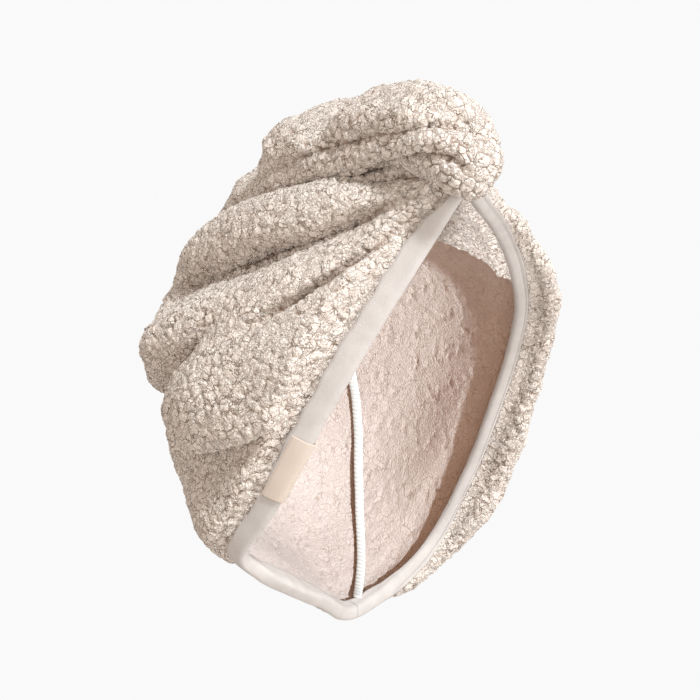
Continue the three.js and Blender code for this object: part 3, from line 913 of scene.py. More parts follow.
def pile_group() -> bpy.types.NodeTree:
    """The node group of looped pile: colour with painted shade between the loops, in the crevices
    and in the cracks, and the height of its loops.
    """
    group = bpy.data.node_groups.new("looped_pile", "ShaderNodeTree")
    shader = Shader(group)
    face = group.interface
    for name, kind in (("Top", "Color"), ("PaintedShade", "Color"), ("Crown", "Float"),
                       ("CreviceShade", "Float"), ("LoopShade", "Float"), ("Loops", "Float"),
                       ("Crack", "Float"), ("Tufts", "Float")):
        face.new_socket(name=name, in_out="INPUT", socket_type=f"NodeSocket{kind}")
    for name, kind in (("Color", "Color"), ("Height", "Float")):
        face.new_socket(name=name, in_out="OUTPUT", socket_type=f"NodeSocket{kind}")
    given = shader.add("NodeGroupInput").outputs
    where = shader.where()
    bent = shader.bent(where, GRAIN.bend, GRAIN.bend_reach)
    astray = shader.bent(where, GRAIN.stray, GRAIN.stray_reach)
    fibre = shader.noise(bent, *GRAIN.fibre).outputs["Fac"]
    patch = shader.noise(where, *GRAIN.patch).outputs["Fac"]
    gate = shader.noise(where, *GRAIN.gate).outputs["Fac"]
    loops = shader.add("ShaderNodeTexVoronoi", {"feature": "SMOOTH_F1"}, {
        "Vector": bent, "Scale": given["Loops"], "Smoothness": 0.35})
    round_loop = shader.span(loops.outputs["Distance"], 0.05, 0.75, 1.0, 0.0)
    rough_loop = shader.math("ADD", shader.math("MULTIPLY", round_loop, GRAIN.loop_part),
                             shader.math("MULTIPLY", fibre, GRAIN.fibre_part))
    # Painted shade between the loops, where their height is low.
    loop_shade = shader.math("MULTIPLY", shader.span(rough_loop, *GRAIN.loop_shade), given["LoopShade"])
    # Painted shade in the crevices between nubs and in the slits of the folds.
    deep = shader.math("MULTIPLY", shader.span(given["Crown"], 0.5, 0.0), given["CreviceShade"])
    # Painted shade in the fine cracks between tufts; the cracks also lower the relief.
    lines = []
    for scale, width, depth, low, high in (
            (given["Tufts"], GRAIN.line_width, 1.0, 0.42, 0.56),
            (shader.math("MULTIPLY", given["Tufts"], GRAIN.curl_finer), GRAIN.curl_width,
             GRAIN.curl_depth, 0.6, 0.42)):
        cells = shader.add("ShaderNodeTexVoronoi", {"feature": "DISTANCE_TO_EDGE"}, {
            "Vector": astray, "Scale": scale})
        lines.append(shader.math(
            "MULTIPLY", shader.span(cells.outputs["Distance"], 0.0, width, depth, 0.0),
            shader.span(gate, low, high)))
    crack = shader.math("MULTIPLY", shader.math("MAXIMUM", *lines), given["Crack"])
    # All the painted shade, mixed in as the low colour.
    hollow = shader.math("MAXIMUM", shader.math("MAXIMUM", loop_shade, deep), crack)
    colour = shader.mix(hollow, given["Top"], given["PaintedShade"])
    toned = shader.mix(shader.span(patch, 0.35, 0.7, 0.0, GRAIN.patch_depth), colour,
                       rgba(GRAIN.patch_tint), "MULTIPLY")
    height = shader.math("SUBTRACT", rough_loop, crack)
    shader.add("NodeGroupOutput", None, {"Color": toned, "Height": height})
    return group


def new_material(name: str) -> tuple[bpy.types.Material, Shader]:
    """A material with an empty tree."""
    material = bpy.data.materials.new(name)
    material.use_nodes = True
    return material, Shader(material.node_tree)


def terry_material(look: TerryLook, group: bpy.types.NodeTree) -> bpy.types.Material:
    """Terry towelling: cream nubs, painted brown shade in the crevices, and loops."""
    material, shader = new_material(look.name)
    crown = shader.add("ShaderNodeAttribute", {"attribute_name": "crown"}).outputs["Fac"]
    pile = shader.add("ShaderNodeGroup", {"node_tree": group}, {
        "Top": rgba(look.top), "PaintedShade": rgba(look.low), "Crown": crown,
        "CreviceShade": look.crevice, "LoopShade": look.loop_shade_amount, "Loops": 1000.0 / look.loop_mm,
        "Crack": look.crack, "Tufts": 1000.0 / look.crack_mm})
    shader.end(pile.outputs["Color"], shader.bump(pile.outputs["Height"], look.bump_mm, 1.0),
               TERRY_SHINE)
    return material


def plain_material(finish: Finish, shares: Callable[[Shader], tuple[object, object]],
                   gap_shade: Colour | None = None) -> bpy.types.Material:
    """A material of one plain finish.

    Args:
        finish: its finish.
        shares: makes the share of its second colour and the height of its relief.
        gap_shade: a colour of painted shade for the gaps of a weave, that a quarter of the relief
            mixes in, if any.

    Returns:
        The material.
    """
    material, shader = new_material(finish.name)
    share, height = shares(shader)
    colour = shader.mix(share, rgba(finish.first), rgba(finish.second))
    # Painted shade: the gap colour, mixed in with the relief.
    if gap_shade:
        colour = shader.mix(shader.math("MULTIPLY", height, 0.25), colour, rgba(gap_shade))
    shader.end(colour, shader.bump(height, finish.relief_mm, finish.relief), finish.shine)
    return material


def tape_shares(shader: Shader) -> tuple[object, object]:
    """The smooth knitted tape: faint mottling and fine ribs."""
    where = shader.where()
    knit = shader.add("ShaderNodeTexVoronoi", None, {"Vector": where, "Scale": 2100.0})
    thread = shader.noise(where, 2400.0, 2.0).outputs["Fac"]
    mottle = shader.noise(where, 130.0, 4.0, 0.6).outputs["Fac"]
    return shader.span(mottle, 0.35, 0.65), shader.math(
        "ADD", shader.math("MULTIPLY", knit.outputs["Distance"], 0.7),
        shader.math("MULTIPLY", thread, 0.4))


def label_shares(shader: Shader) -> tuple[object, object]:
    """The bare woven label: lighter selvedges and a fine satin weave."""
    uv_map = shader.add("ShaderNodeUVMap", {"uv_map": "cloth"}).outputs[0]
    across = shader.add("ShaderNodeSeparateXYZ", None, {0: uv_map}).outputs["X"]
    waves_of = [shader.add("ShaderNodeTexWave", {"bands_direction": way}, {
        "Vector": uv_map, "Scale": scale, "Distortion": 0.4}).outputs["Fac"]
        for way, scale in (("X", 42.0), ("Y", 30.0))]
    edge = shader.math("ABSOLUTE", shader.math("SUBTRACT", across, 0.5), 0.0)
    return shader.span(edge, 0.44, 0.47), shader.math("MULTIPLY", *waves_of)


def thread_shares(shader: Shader) -> tuple[object, object]:
    """White overlock thread: painted shade between its stitches, with fine hairs."""
    crown = shader.add("ShaderNodeAttribute", {"attribute_name": "crown"}).outputs["Fac"]
    hair = shader.noise(shader.where(), 1900.0, 4.0, 0.7).outputs["Fac"]
    return shader.span(crown, 0.55, 0.1), hair


def button_shares(shader: Shader) -> tuple[object, object]:
    """Pale resin: faint clouds and fine scuffs."""
    where = shader.where()
    cloud = shader.noise(where, 190.0, 3.0, distortion=1.2).outputs["Fac"]
    return shader.span(cloud, 0.35, 0.7), shader.noise(where, 900.0, 3.0).outputs["Fac"]


class Workshop:
    """What the sub-assemblies share: the form, the fineness and the terry materials."""

    def __init__(self, detail: Detail) -> None:
        """Keeps the form and makes the terry materials."""
        self.detail = detail
        self.form = Form()
        group = pile_group()
        self.outer_terry = terry_material(OUTER_TERRY, group)
        self.inner_terry = terry_material(INNER_TERRY, group)


@dataclass
class SubAssembly:
    """A group of pieces that is built on the shared form."""

    shop: Workshop

    @staticmethod
    def finish_piece(thing: bpy.types.Object, material: bpy.types.Material, slot: str,
                     replaced: Sequence[str]) -> bpy.types.Object:
        """Gives a piece its material and its place on the frame.

        Args:
            thing: the piece.
            material: its material.
            slot: the part's material slot that it stands for; not used.
            replaced: the part's nodes that it is shown instead of.

        Returns:
            The piece.
        """
        thing.data.materials.append(material)
        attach(thing, "root")
        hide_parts(*replaced)
        log.info("%s: %d triangles", thing.name,
                 sum(len(p.vertices) - 2 for p in thing.data.polygons))
        return thing


@dataclass
class Cap(SubAssembly):
    """The gathered cap: its outer face, its inner face and the fold inside the brow."""

    nub_pitch: float = 4.6
    nub_height: float = 1.15
    nub_seat: float = 0.6
    sag: float = 0.8
    sag_length: float = 34.0
    fuzz: float = 0.09
    inner_pitch: float = 5.2
    inner_height: float = 0.55
    inner_swell: float = 0.6
    inner_swell_length: float = 42.0
    patch_length: float = 13.0
    patch_span: tuple[float, float] = (-0.8, 0.9)
    swell_limits: tuple[float, float] = (-1.2, 1.2)
    swell_rises: tuple[float, float] = (0.05, 0.2)
    sag_limits: tuple[float, float] = (-1.2, 1.6)
    tape_rises: tuple[float, float] = (0.03, 0.07)
    taped_crown: float = 0.7
    top_rise: float = 0.97
    top_fade: float = 0.5
    lowest_rise: float = 0.004
    brow_depth: float = 5.0
    brow_round: float = 4.0
    brow_hem: float = 5.0
    brow_sunk: float = 0.9
    brow_free: tuple[float, float] = (0.5, 4.0)
    brow_lip: float = 3.0
    brow_shade: tuple[float, float] = (1.8, 3.6)
    brow_sag: float = 0.5
    brow_sag_length: float = 19.0
    spare: int = 2
    cloth_width: float = 0.22
    outer_lengths: tuple[float, float] = (0.179, 0.228)
    inner_lengths: tuple[float, float] = (0.109, 0.12)
    brow_flat: tuple[float, float] = (0.06, 0.15)

    def halves(self, pieces: tuple[Piece, Piece], points: Array, crown: Array,
               lengths: tuple[float, float], turned: bool) -> list[bpy.types.Object]:
        """Makes a face in a right and a left half.

        Args:
            pieces: their names.
            points: the whole face as rows and columns of points.
            crown: 0 in the crevices to 1 on the tops of its nubs.
            lengths: the lengths of their cloth; not used.
            turned: whether it is the outer face, whose faces are turned over.

        Returns:
            The two halves.
        """
        points[-1] = points[-1].mean(0)
        split = round(NAPE_TURN * (points.shape[1] - 1))
        terry = self.shop.outer_terry if turned else self.shop.inner_terry
        made = []
        for piece, part, length in zip(pieces, (slice(0, split + 1), slice(split, None)),
                                       lengths):
            thing = sheet_object(piece.value, points[:, part], {"crown": crown[:, part]}, turned)
            made.append(self.finish_piece(thing, terry, "terry", ["cap"]))
        return made

    def outer_points(self) -> tuple[Array, Array]:
        """The outer face as rows and columns, with its nubs and a few spare columns.

        Returns:
            The points, and 0 in the crevices to 1 on the tops of the nubs.
        """
        form, detail, spare = self.shop.form, self.shop.detail, self.spare
        count, rows = detail.around, detail.outer_rows
        turn, rise = np.meshgrid(np.arange(-spare, count + spare + 1) / count,
                                 np.linspace(0, 1, rows + 1) ** 1.05)
        lift, lean, slit_shade = form.fold_shift(turn, rise)
        points = form.outside(turn, rise, lift, lean)
        normals = grid_normals(points)
        free = smoothstep(rise, *self.tape_rises)
        sagged = np.clip(waves(points, self.sag_length, SEED + 1), *self.sag_limits) * self.sag
        points += normals * (sagged * free)[..., None]
        nubs = Nubs(self.nub_pitch, self.nub_height, SEED)
        height, crown = nubs.cover(points, points[:, spare:-spare - 1])
        fuzz = np.random.default_rng(SEED + 2).normal(scale=self.fuzz, size=height.shape)
        doubled = 2 * spare + 1
        fuzz[:, -doubled:] = fuzz[:, :doubled]
        raised = (height - self.nub_height * self.nub_seat + fuzz) * free
        fade = 1 - self.top_fade * smoothstep(rise, self.top_rise, 1)
        points = points + normals * (raised * fade)[..., None]
        # Painted shade: the crevice colour in the crevices between nubs and along the slits, and
        # a set middle value under the tape.
        crown = (crown * free + self.taped_crown * (1 - free)) * (1 - slit_shade)
        return points[:, spare:-spare], crown[:, spare:-spare]

    def build_outer(self) -> None:
        """Makes the outer face in a right and a left half."""
        points, crown = self.outer_points()
        self.halves((Piece.OUTER_RIGHT, Piece.OUTER_LEFT), points, crown, self.outer_lengths,
                    True)

    def build_inner(self) -> list[bpy.types.Object]:
        """Makes the inner face in a right and a left half.

        Returns:
            The two halves.
        """
        count, rows = self.shop.detail.inner_around, self.shop.detail.inner_rows
        turn, rise = np.meshgrid(np.arange(count + 1) / count,
                                 np.linspace(self.lowest_rise, 1, rows + 1))
        points = self.shop.form.inside(turn, rise)
        points[:, -1] = points[:, 0]
        nubs = Nubs(self.inner_pitch, self.inner_height, SEED + 4)
        height, crown = nubs.cover(points, points[:, :-1])
        normals = grid_normals(points)
        patches = smoothstep(waves(points, self.patch_length, SEED + 5), *self.patch_span)
        swell = np.clip(waves(points, self.inner_swell_length, SEED + 6), *self.swell_limits)
        swell *= self.inner_swell * smoothstep(rise, *self.swell_rises)
        dent = (height - self.inner_height) * (0.25 + 0.75 * patches) + swell
        points = points - normals * dent[..., None]
        # Painted shade in the crevices between nubs, weaker in random patches.
        crown = 1 - (1 - crown) * (0.2 + 0.8 * patches)
        return self.halves((Piece.INNER_RIGHT, Piece.INNER_LEFT), points, crown,
                           self.inner_lengths, False)

    def build_brow(self) -> None:
        """Makes the fold of towelling that is turned in behind the brow."""
        form, detail = self.shop.form, self.shop.detail
        lip = spline(np.array(BROW_ROUTE, float), False, 40)
        along = np.linspace(0, 1, detail.brow_steps + 1)
        spots = np.linspace(0, 1, len(lip))
        share = (np.linspace(0, 1, detail.brow_rows + 1) ** 1.3)[:, None]
        first, last = BROW_ROUTE[0][0], BROW_ROUTE[-1][0]
        turn = np.interp(along, spots, lip[:, 0]) * (1 - share) + (
            first + (last - first) * along) * share
        rise = np.interp(along, spots, lip[:, 1]) * (1 - share) + self.lowest_rise * share
        plain = form.inside(turn, rise)
        inward = -form.normal(turn, rise, False)
        from_lip = np.linalg.norm(plain - plain[:1], axis=-1)
        from_rim = np.linalg.norm(plain - plain[-1:], axis=-1)
        edge = np.clip(from_lip / self.brow_round, 0, 1)
        proud = np.sqrt(1 - (1 - edge) ** 2) * smoothstep(from_rim, -1.0, self.brow_hem)
        points = plain + inward * (self.brow_depth * proud - self.brow_sunk)[..., None]
        nubs = Nubs(self.nub_pitch, self.nub_height, SEED + 14)
        height, crown = nubs.cover(points, points)
        normals = grid_normals(points)
        facing = np.einsum("ijk,ijk->", normals, inward)
        normals *= math.copysign(1.0, facing)
        free = smoothstep(from_rim, *self.brow_free) * (
            0.35 + 0.65 * smoothstep(from_lip, 0.0, self.brow_lip))
        sagged = waves(points, self.brow_sag_length, SEED + 15) * self.brow_sag
        points = points + normals * (
            (height - self.nub_height * self.nub_seat + sagged) * free)[..., None]
        # Painted shade: the crevice colour along the lip of the fold, where it turns away into
        # the hollow.
        marks = {"crown": crown * smoothstep(from_lip, *self.brow_shade)}
        thing = sheet_object(Piece.BROW.value, points, marks, facing > 0)
        self.finish_piece(thing, self.shop.outer_terry, "terry", ["cap"])


@dataclass
class Tail(SubAssembly):
    """The knot over the forehead and the twisted tail behind it."""

    size: float = 1.05
    nub_pitch: float = 4.6
    nub_height: float = 1.15
    nub_seat: float = 0.6
    sag: float = 0.7
    sag_length: float = 22.0
    fuzz: float = 0.09
    fill: float = 0.6
    seat_depth: float = 1.2
    seat_columns: int = 361
    seat_rows: int = 121
    way_samples: int = 601

    def around(self, at: Array, angle: Array) -> tuple[Array, Array]:
        """Points of the plain roll.

        Args:
            at: the way along it, in stations, one a row.
            angle: the way around it, in radians, of that shape or one row for all.

        Returns:
            The points, and the middles of their sections.
        """
        table = np.array([[s.side, s.along, s.height, s.wide, s.thick] for s in TAIL], float)
        fine = np.linspace(0, len(TAIL) - 1, self.way_samples)
        smooth = np.stack([_catmull(table[:, k], fine) for k in range(5)], -1)
        middle = place(smooth[:, 0], smooth[:, 1], smooth[:, 2])
        way = unit(np.gradient(middle, axis=0))
        across = unit(np.cross(way, middle))
        up = unit(np.cross(across, way))

        def read(values: Array) -> Array:
            return np.stack([np.interp(at, fine, column) for column in values.T], -1)

        centre = read(middle)
        wide, thick = np.interp(at, fine, smooth[:, 3]), np.interp(at, fine, smooth[:, 4])
        points = (centre + read(across) * (np.cos(angle) * self.size * wide)[..., None]
                  + read(up) * (np.sin(angle) * self.size * thick)[..., None])
        return points, centre

    def seat(self, points: Array) -> Array:
        """Presses the roll flat where it would sink into the cap.

        Args:
            points: points of the roll.

        Returns:
            The points, none deeper in the cap's outer face than the seat's depth.
        """
        form = self.shop.form
        turn, rise = np.meshgrid(np.linspace(0, 1, self.seat_columns),
                                 np.linspace(0, 1, self.seat_rows))
        face = form.outside(turn, rise, *form.fold_shift(turn, rise)[:2])
        outward = grid_normals(face).reshape(-1, 3)
        face = face.reshape(-1, 3)
        tree = tree_of(face)
        pressed = points.reshape(-1, 3).copy()
        for index, point in enumerate(pressed):
            _, near, _ = tree.find(point)
            depth = float((face[near] - point) @ outward[near])
            if depth > self.seat_depth:
                pressed[index] = point + outward[near] * (depth - self.seat_depth)
        return pressed.reshape(points.shape)

    def build(self) -> None:
        """Makes the roll with its folds and nubs."""
        steps, sides = self.shop.detail.tail_steps, self.shop.detail.tail_sides
        angle, at = np.meshgrid(np.linspace(0, 2 * np.pi, sides + 1),
                                np.linspace(0, len(TAIL) - 1, steps + 1))
        points, middle = self.around(at, angle)
        lines = []
        for fold in TAIL_FOLDS:
            route = spline(np.array(fold.route, float) * (len(TAIL) - 1, 1), False, 6)
            lines.append((fold, self.around(route[:, 0], np.radians(route[:, 1]))[0]))
        normals = unit(points - middle)
        lift, _, slit_shade = fold_cloth(points, normals, lines)
        points = self.seat(points + normals * lift[..., None])
        normals = grid_normals(np.concatenate([points[:, -3:-1], points, points[:, 1:3]], 1))
        normals = normals[:, 2:-2]
        outward = float(np.einsum("ijk,ijk->", normals, points - middle))
        normals *= math.copysign(1.0, outward)
        points = points + normals * (
            waves(points, self.sag_length, SEED + 8) * self.sag)[..., None]
        nubs = Nubs(self.nub_pitch, self.nub_height, SEED + 9)
        height, crown = nubs.cover(points, points[:, :-1])
        fuzz = np.random.default_rng(SEED + 10).normal(scale=self.fuzz, size=height.shape)
        points = points + normals * (height - self.nub_height * self.nub_seat + fuzz)[..., None]
        shut_tube(points)
        # Painted shade: the crevice colour in the crevices between nubs and in the slits of the
        # folds.
        marks = {"crown": crown * (1 - slit_shade)}
        thing = sheet_object(Piece.TAIL.value, points, marks, outward > 0)
        self.finish_piece(thing, self.shop.outer_terry, "terry", ["twisted_tail"])


@dataclass
class FoldedStrip(SubAssembly):
    """A strip that is folded over the rim of the opening."""

    clear: float = 0.35
    thickness: float = 1.15
    wobble: float = 0.12
    wobble_length: float = 17.0
    shares: tuple[float, ...] = (1.0, 0.985, 0.93, 0.8, 0.6, 0.4, 0.2, 0.06)
    tucks: tuple[float, ...] = (0.95, 0.95, 0, 0, 0, 0, 0, 0)
    edge_rows: int = 6
    below_rise: float = 0.03

    def strip(self, piece: Piece, start: float, end: float, steps: int,
              lap: Callable[[Array], tuple[Array, Array]]) -> bpy.types.Object:
        """A closed strip folded over the rim.

        Args:
            piece: its name.
            start: turn where it starts.
            end: turn where it ends.
            steps: cells along it.
            lap: gives the rises it reaches outside and inside at each turn.

        Returns:
            The object.
        """
        form = self.shop.form
        turn = np.linspace(start, end, steps + 1)
        outer, inner = lap(turn)
        edge = form.dome(turn, np.zeros_like(turn))
        low = np.full_like(turn, self.below_rise)
        below = unit(edge - form.dome(turn, low, False))
        face = form.normal(turn, np.zeros_like(turn), False)
        legs = []
        for far, ease in ((self.clear + self.thickness, self.thickness), (self.clear, 0.0)):
            legs_clear = [(share, far - ease * tuck)
                          for share, tuck in zip(self.shares, self.tucks)]
            rows = [self.beside(turn, outer * share, clear, True) for share, clear in legs_clear]
            for across in np.linspace(0.1, 0.9, self.edge_rows):
                bulge = math.sin(math.pi * across) ** 0.6
                rows.append(edge - face * (EDGE_WALL * across)
                            + below * (far * (0.4 + 0.6 * bulge))
                            + face * (far * math.cos(math.pi * across) * 0.9))
            rows += [self.beside(turn, inner * share, clear, False)
                     for share, clear in legs_clear[::-1]]
            legs.append(rows)
        ring = legs[0] + legs[1][::-1]
        points = np.stack(ring + ring[:1], 1)
        points = points + form.normal(turn, low)[:, None] * (
            waves(points, self.wobble_length, SEED + 12) * self.wobble)[..., None]
        points[:, -1] = points[:, 0]
        points = np.concatenate([points[:1], points, points[-1:]])
        half = points.shape[1] // 2
        for row in (points[0], points[-1]):
            row[:half] = (row[:half] + row[half:2 * half][::-1]) / 2
            row[half:2 * half] = row[:half][::-1]
            row[-1] = row[0]
        return sheet_object(piece.value, points, {}, True)

    def beside(self, turn: Array, rise: Array, clear: float, outer: bool) -> Array:
        """Points beside the rim, clear of the cap's outer or inner face."""
        offset = clear if outer else -clear - EDGE_WALL
        form = self.shop.form
        return form.dome(turn, rise, outer) + form.normal(turn, rise, outer) * offset


@dataclass
class Binding(FoldedStrip):
    """The tape over the rim, in a right and a left run."""

    outer_rise: float = 0.05
    inner_rise: float = 0.048
    least_rise: float = 0.01
    join: float = 0.0005
    knot_turn: float = 0.003
    right_flat: tuple[float, float] = (0.021, 0.295)
    left_flat: tuple[float, float] = (0.013, 0.305)

    def lap(self, turn: Array) -> tuple[Array, Array]:
        """How far up the tape reaches, outside and inside: less where the hem turns in."""
        hem = self.shop.form.around("hem", turn) / HEM.most
        waver = 1 + 0.04 * np.sin(turn * 260) + 0.03 * np.sin(turn * 97 + 1)
        return (self.outer_rise * (1 - 0.9 * hem) * waver,
                np.maximum(self.inner_rise * (1 - 1.25 * hem), self.least_rise) * waver)

    def build(self) -> None:
        """Makes both runs."""
        tape = plain_material(TAPE, tape_shares)
        knot, join = self.knot_turn, self.join
        for piece, start, end, node, flat in (
                (Piece.TAPE_RIGHT, knot, NAPE_TURN - join, "binding_right", self.right_flat),
                (Piece.TAPE_LEFT, NAPE_TURN + join, 1 - knot, "binding_left", self.left_flat)):
            thing = self.strip(piece, start, end, self.shop.detail.tape_steps, self.lap)
            self.finish_piece(thing, tape, "tape", [node])


@dataclass
class Label(FoldedStrip):
    """The bare label, folded over the tape."""

    clear: float = 1.75
    thickness: float = 0.6
    wobble: float = 0.1
    start: float = 0.193
    end: float = 0.24
    rise: float = 0.043
    steps: int = 60
    flat: tuple[float, float] = (0.027, 0.03)

    def lap(self, turn: Array) -> tuple[Array, Array]:
        """How far up the label reaches, the same on both sides."""
        return np.full_like(turn, self.rise), np.full_like(turn, self.rise)

    def build(self) -> None:
        """Makes the label."""
        thing = self.strip(Piece.LABEL, self.start, self.end, self.steps, self.lap)
        satin = plain_material(SATIN, label_shares, SATIN_GAP_SHADE)
        self.finish_piece(thing, satin, "label", ["side_label"])


@dataclass
class Seam(SubAssembly):
    """The overlocked seam on the inside, with its slanting stitches."""

    half_width: float = 2.05
    height: float = 0.8
    stand: float = 0.5
    clear: float = 0.9
    stitch: float = 1.9
    slant: float = 0.22
    waver: float = 0.35

    def build(self) -> bpy.types.Object:
        """Makes the seam."""
        steps, form = self.shop.detail.seam_steps, self.shop.form
        line = spline(np.array(SEAM_ROUTE, float), False, 60)
        at, spots = np.linspace(0, 1, steps + 1), np.linspace(0, 1, len(line))
        turn, rise = np.interp(at, spots, line[:, 0]), np.interp(at, spots, line[:, 1])
        middle = form.inside(turn, rise, self.clear)
        normal = -form.normal(turn, rise, False)
        across = unit(np.cross(unit(np.gradient(middle, axis=0)), normal))
        walked = np.concatenate([[0], np.cumsum(np.linalg.norm(np.diff(middle, axis=0), axis=1))])
        angle = np.linspace(0, 2 * np.pi, 25)[None, :]
        stitch = np.abs(np.sin(np.pi * (
            walked[:, None] / self.stitch + self.slant * np.cos(angle)))) ** 0.6
        sideways = (np.cos(angle) * self.half_width * (0.86 + 0.14 * stitch)
                    + self.waver * np.sin(walked / 9)[:, None])
        proud = np.sin(angle) * self.height * (0.62 + 0.38 * stitch) + self.stand
        points = (middle[:, None] + across[:, None] * sideways[..., None]
                  + normal[:, None] * proud[..., None])
        shut_tube(points)
        # The stitch mark says where painted shade darkens the thread between stitches.
        thing = sheet_object(Piece.SEAM.value, points, {"crown": stitch}, True)
        thread = plain_material(THREAD, thread_shares)
        return self.finish_piece(thing, thread, "thread", ["back_seam"])


@dataclass
class Button(SubAssembly):
    """The button left of the nape: a turned disc with a raised rim and knots of thread."""

    turn: float = 0.56
    rise: float = 0.25
    thickness: float = 4.0
    proud: float = 2.6
    sides: int = 72
    knots: int = 4
    first_knot: float = 0.4
    knot_circle: float = 2.3
    knot_radius: float = 0.85
    knot_height: float = 2.75
    knot_flat: float = 0.35
    profile: tuple[tuple[float, float], ...] = (
        (0, 0.2), (7.5, 0.2), (9.8, 0.5), (11, 1.7), (11, 2.6), (10.4, 3.6), (9.4, 4.0),
        (8.4, 3.7), (7.2, 2.9), (5.0, 2.6), (0, 2.6))

    def build(self) -> None:
        """Makes the button where the part has it."""
        low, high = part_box("tail_button")
        normal = Vector(self.shop.form.normal(np.array([self.turn]), np.array([self.rise]))[0])
        build = bmesh.new()
        corners = [build.verts.new((x, 0, z)) for x, z in self.profile]
        edges = [build.edges.new(pair) for pair in zip(corners, corners[1:])]
        bmesh.ops.spin(build, geom=corners + edges, axis=(0, 0, 1), cent=(0, 0, 0),
                       angle=2 * math.pi, steps=self.sides, use_merge=True,
                       use_duplicate=False)
        bmesh.ops.remove_doubles(build, verts=build.verts, dist=WELD / MM)
        for k in range(self.knots):
            way = k * 2 * math.pi / self.knots + self.first_knot
            spot = Matrix.Translation((self.knot_circle * math.cos(way),
                                       self.knot_circle * math.sin(way), self.knot_height))
            bmesh.ops.create_uvsphere(build, u_segments=16, v_segments=8,
                                      radius=self.knot_radius,
                                      matrix=spot @ Matrix.Diagonal((1, 1, self.knot_flat, 1)))
        turned = Vector((0, 0, 1)).rotation_difference(normal).to_matrix().to_4x4()
        moved = Matrix.Translation((low + high) / 2) @ turned @ Matrix.Diagonal((MM, MM, MM, 1))
        bmesh.ops.transform(
            build, matrix=moved @ Matrix.Translation((0, 0, self.proud - self.thickness / 2)),
            verts=build.verts)
        bmesh.ops.recalc_face_normals(build, faces=build.faces)
        mesh = bpy.data.meshes.new(Piece.BUTTON.value)
        build.to_mesh(mesh)
        build.free()
        resin = plain_material(RESIN, button_shares)
        self.finish_piece(smooth_object(mesh), resin, "button", ["tail_button"])


def _catmull(values: Array, at: Array) -> Array:
    """A smooth curve through a column of evenly spaced values."""
    last = len(values) - 1
    low = np.clip(at.astype(int), 0, last - 1)
    part = at - low
    before = np.where(low > 0, values[np.maximum(low - 1, 0)], 2 * values[0] - values[1])
    after = np.where(low + 2 <= last, values[np.minimum(low + 2, last)],
                     2 * values[last] - values[last - 1])
    start, end = values[low], values[low + 1]
    leave, reach = (end - before) / 2, (after - start) / 2
    return (start + leave * part + (3 * (end - start) - 2 * leave - reach) * part ** 2
            + (2 * (start - end) + leave + reach) * part ** 3)


@dataclass(frozen=True)
class View:
    """The photograph's camera: turns in degrees, distance in metres, the rest in pixels."""

    azimuth: float = -40.0
    elevation: float = 3.9
    roll: float = -29.1
    distance: float = 1.0137
    focal: float = 2547.0
    centre_x: float = 411.5
    centre_y: float = 411.9
    size: float = 700.0
    sensor_mm: float = 36.0

    def basis(self) -> tuple[Vector, Vector, Vector]:
        """Right, up and backward directions of the camera."""
        azimuth, elevation, roll = (
            math.radians(v) for v in (self.azimuth, self.elevation, self.roll))
        back = Vector((math.sin(azimuth) * math.cos(elevation),
                       -math.cos(azimuth) * math.cos(elevation), math.sin(elevation)))
        right = Vector((math.cos(azimuth), math.sin(azimuth), 0))
        up = back.cross(right)
        return (right * math.cos(roll) + up * math.sin(roll),
                up * math.cos(roll) - right * math.sin(roll), back)

    def make_camera(self) -> None:
        """Adds the camera and makes it the scene's."""
        right, up, back = self.basis()
        half = self.size / 2
        eye = (back * self.distance
               - right * ((self.centre_x - half) / self.focal * self.distance)
               + up * ((self.centre_y - half) / self.focal * self.distance))
        data = bpy.data.cameras.new("photo_camera")
        data.sensor_width = self.sensor_mm
        data.lens = self.focal / self.size * self.sensor_mm
        data.clip_end = 60.0
        camera = link_object("photo_camera", data)
        turn = Matrix((right, up, back)).transposed().to_4x4()
        camera.matrix_world = Matrix.Translation(eye) @ turn
        bpy.context.scene.camera = camera


class Lit(Enum):
    """The pieces that a lamp lights."""

    OUTER = "all but those in the hollow"
    BROW = "the fold behind the brow"
    HOLLOW = "those in the hollow, without bounced light"


@dataclass(frozen=True)
class Lamp:
    """A soft sun or a spot: its way from the part as shares of the camera's directions.

    The spread is the sun's angle or the spot's cone, in degrees.
    """

    name: str
    right: float
    up: float
    back: float
    power: float
    spread: float
    colour: Colour
    lights: Lit = Lit.OUTER
    kind: str = "SUN"


LAMPS = (
    Lamp("key", 0.36, 0.66, 0.66, 2.4, 9, (0.95, 0.98, 1.0)),
    Lamp("side", 0.86, 0.05, 0.5, 1.5, 30, (1.0, 0.97, 0.94)),
    Lamp("fill_front", 0, 0.3, 1, 2.1, 170, (1.0, 0.92, 0.85)),
    Lamp("fill_behind", -1, -0.6, -0.2, 0.8, 170, (1.0, 0.86, 0.74)),
    Lamp("rear", 0, 0.5, -1, 2.2, 60, (1.0, 0.97, 0.94)),
    Lamp("brow", -0.15, -0.1, 1, 3.2, 12, (0.97, 0.98, 1.0), Lit.BROW),
    Lamp("mouth", 0.736, -0.139, 0.663, 93.0, 16, (0.78, 0.9, 0.99), Lit.HOLLOW, "SPOT"),
    Lamp("glow", -0.25, 0, 1, 1.1, 110, (1.0, 0.6, 0.36), Lit.HOLLOW),
)


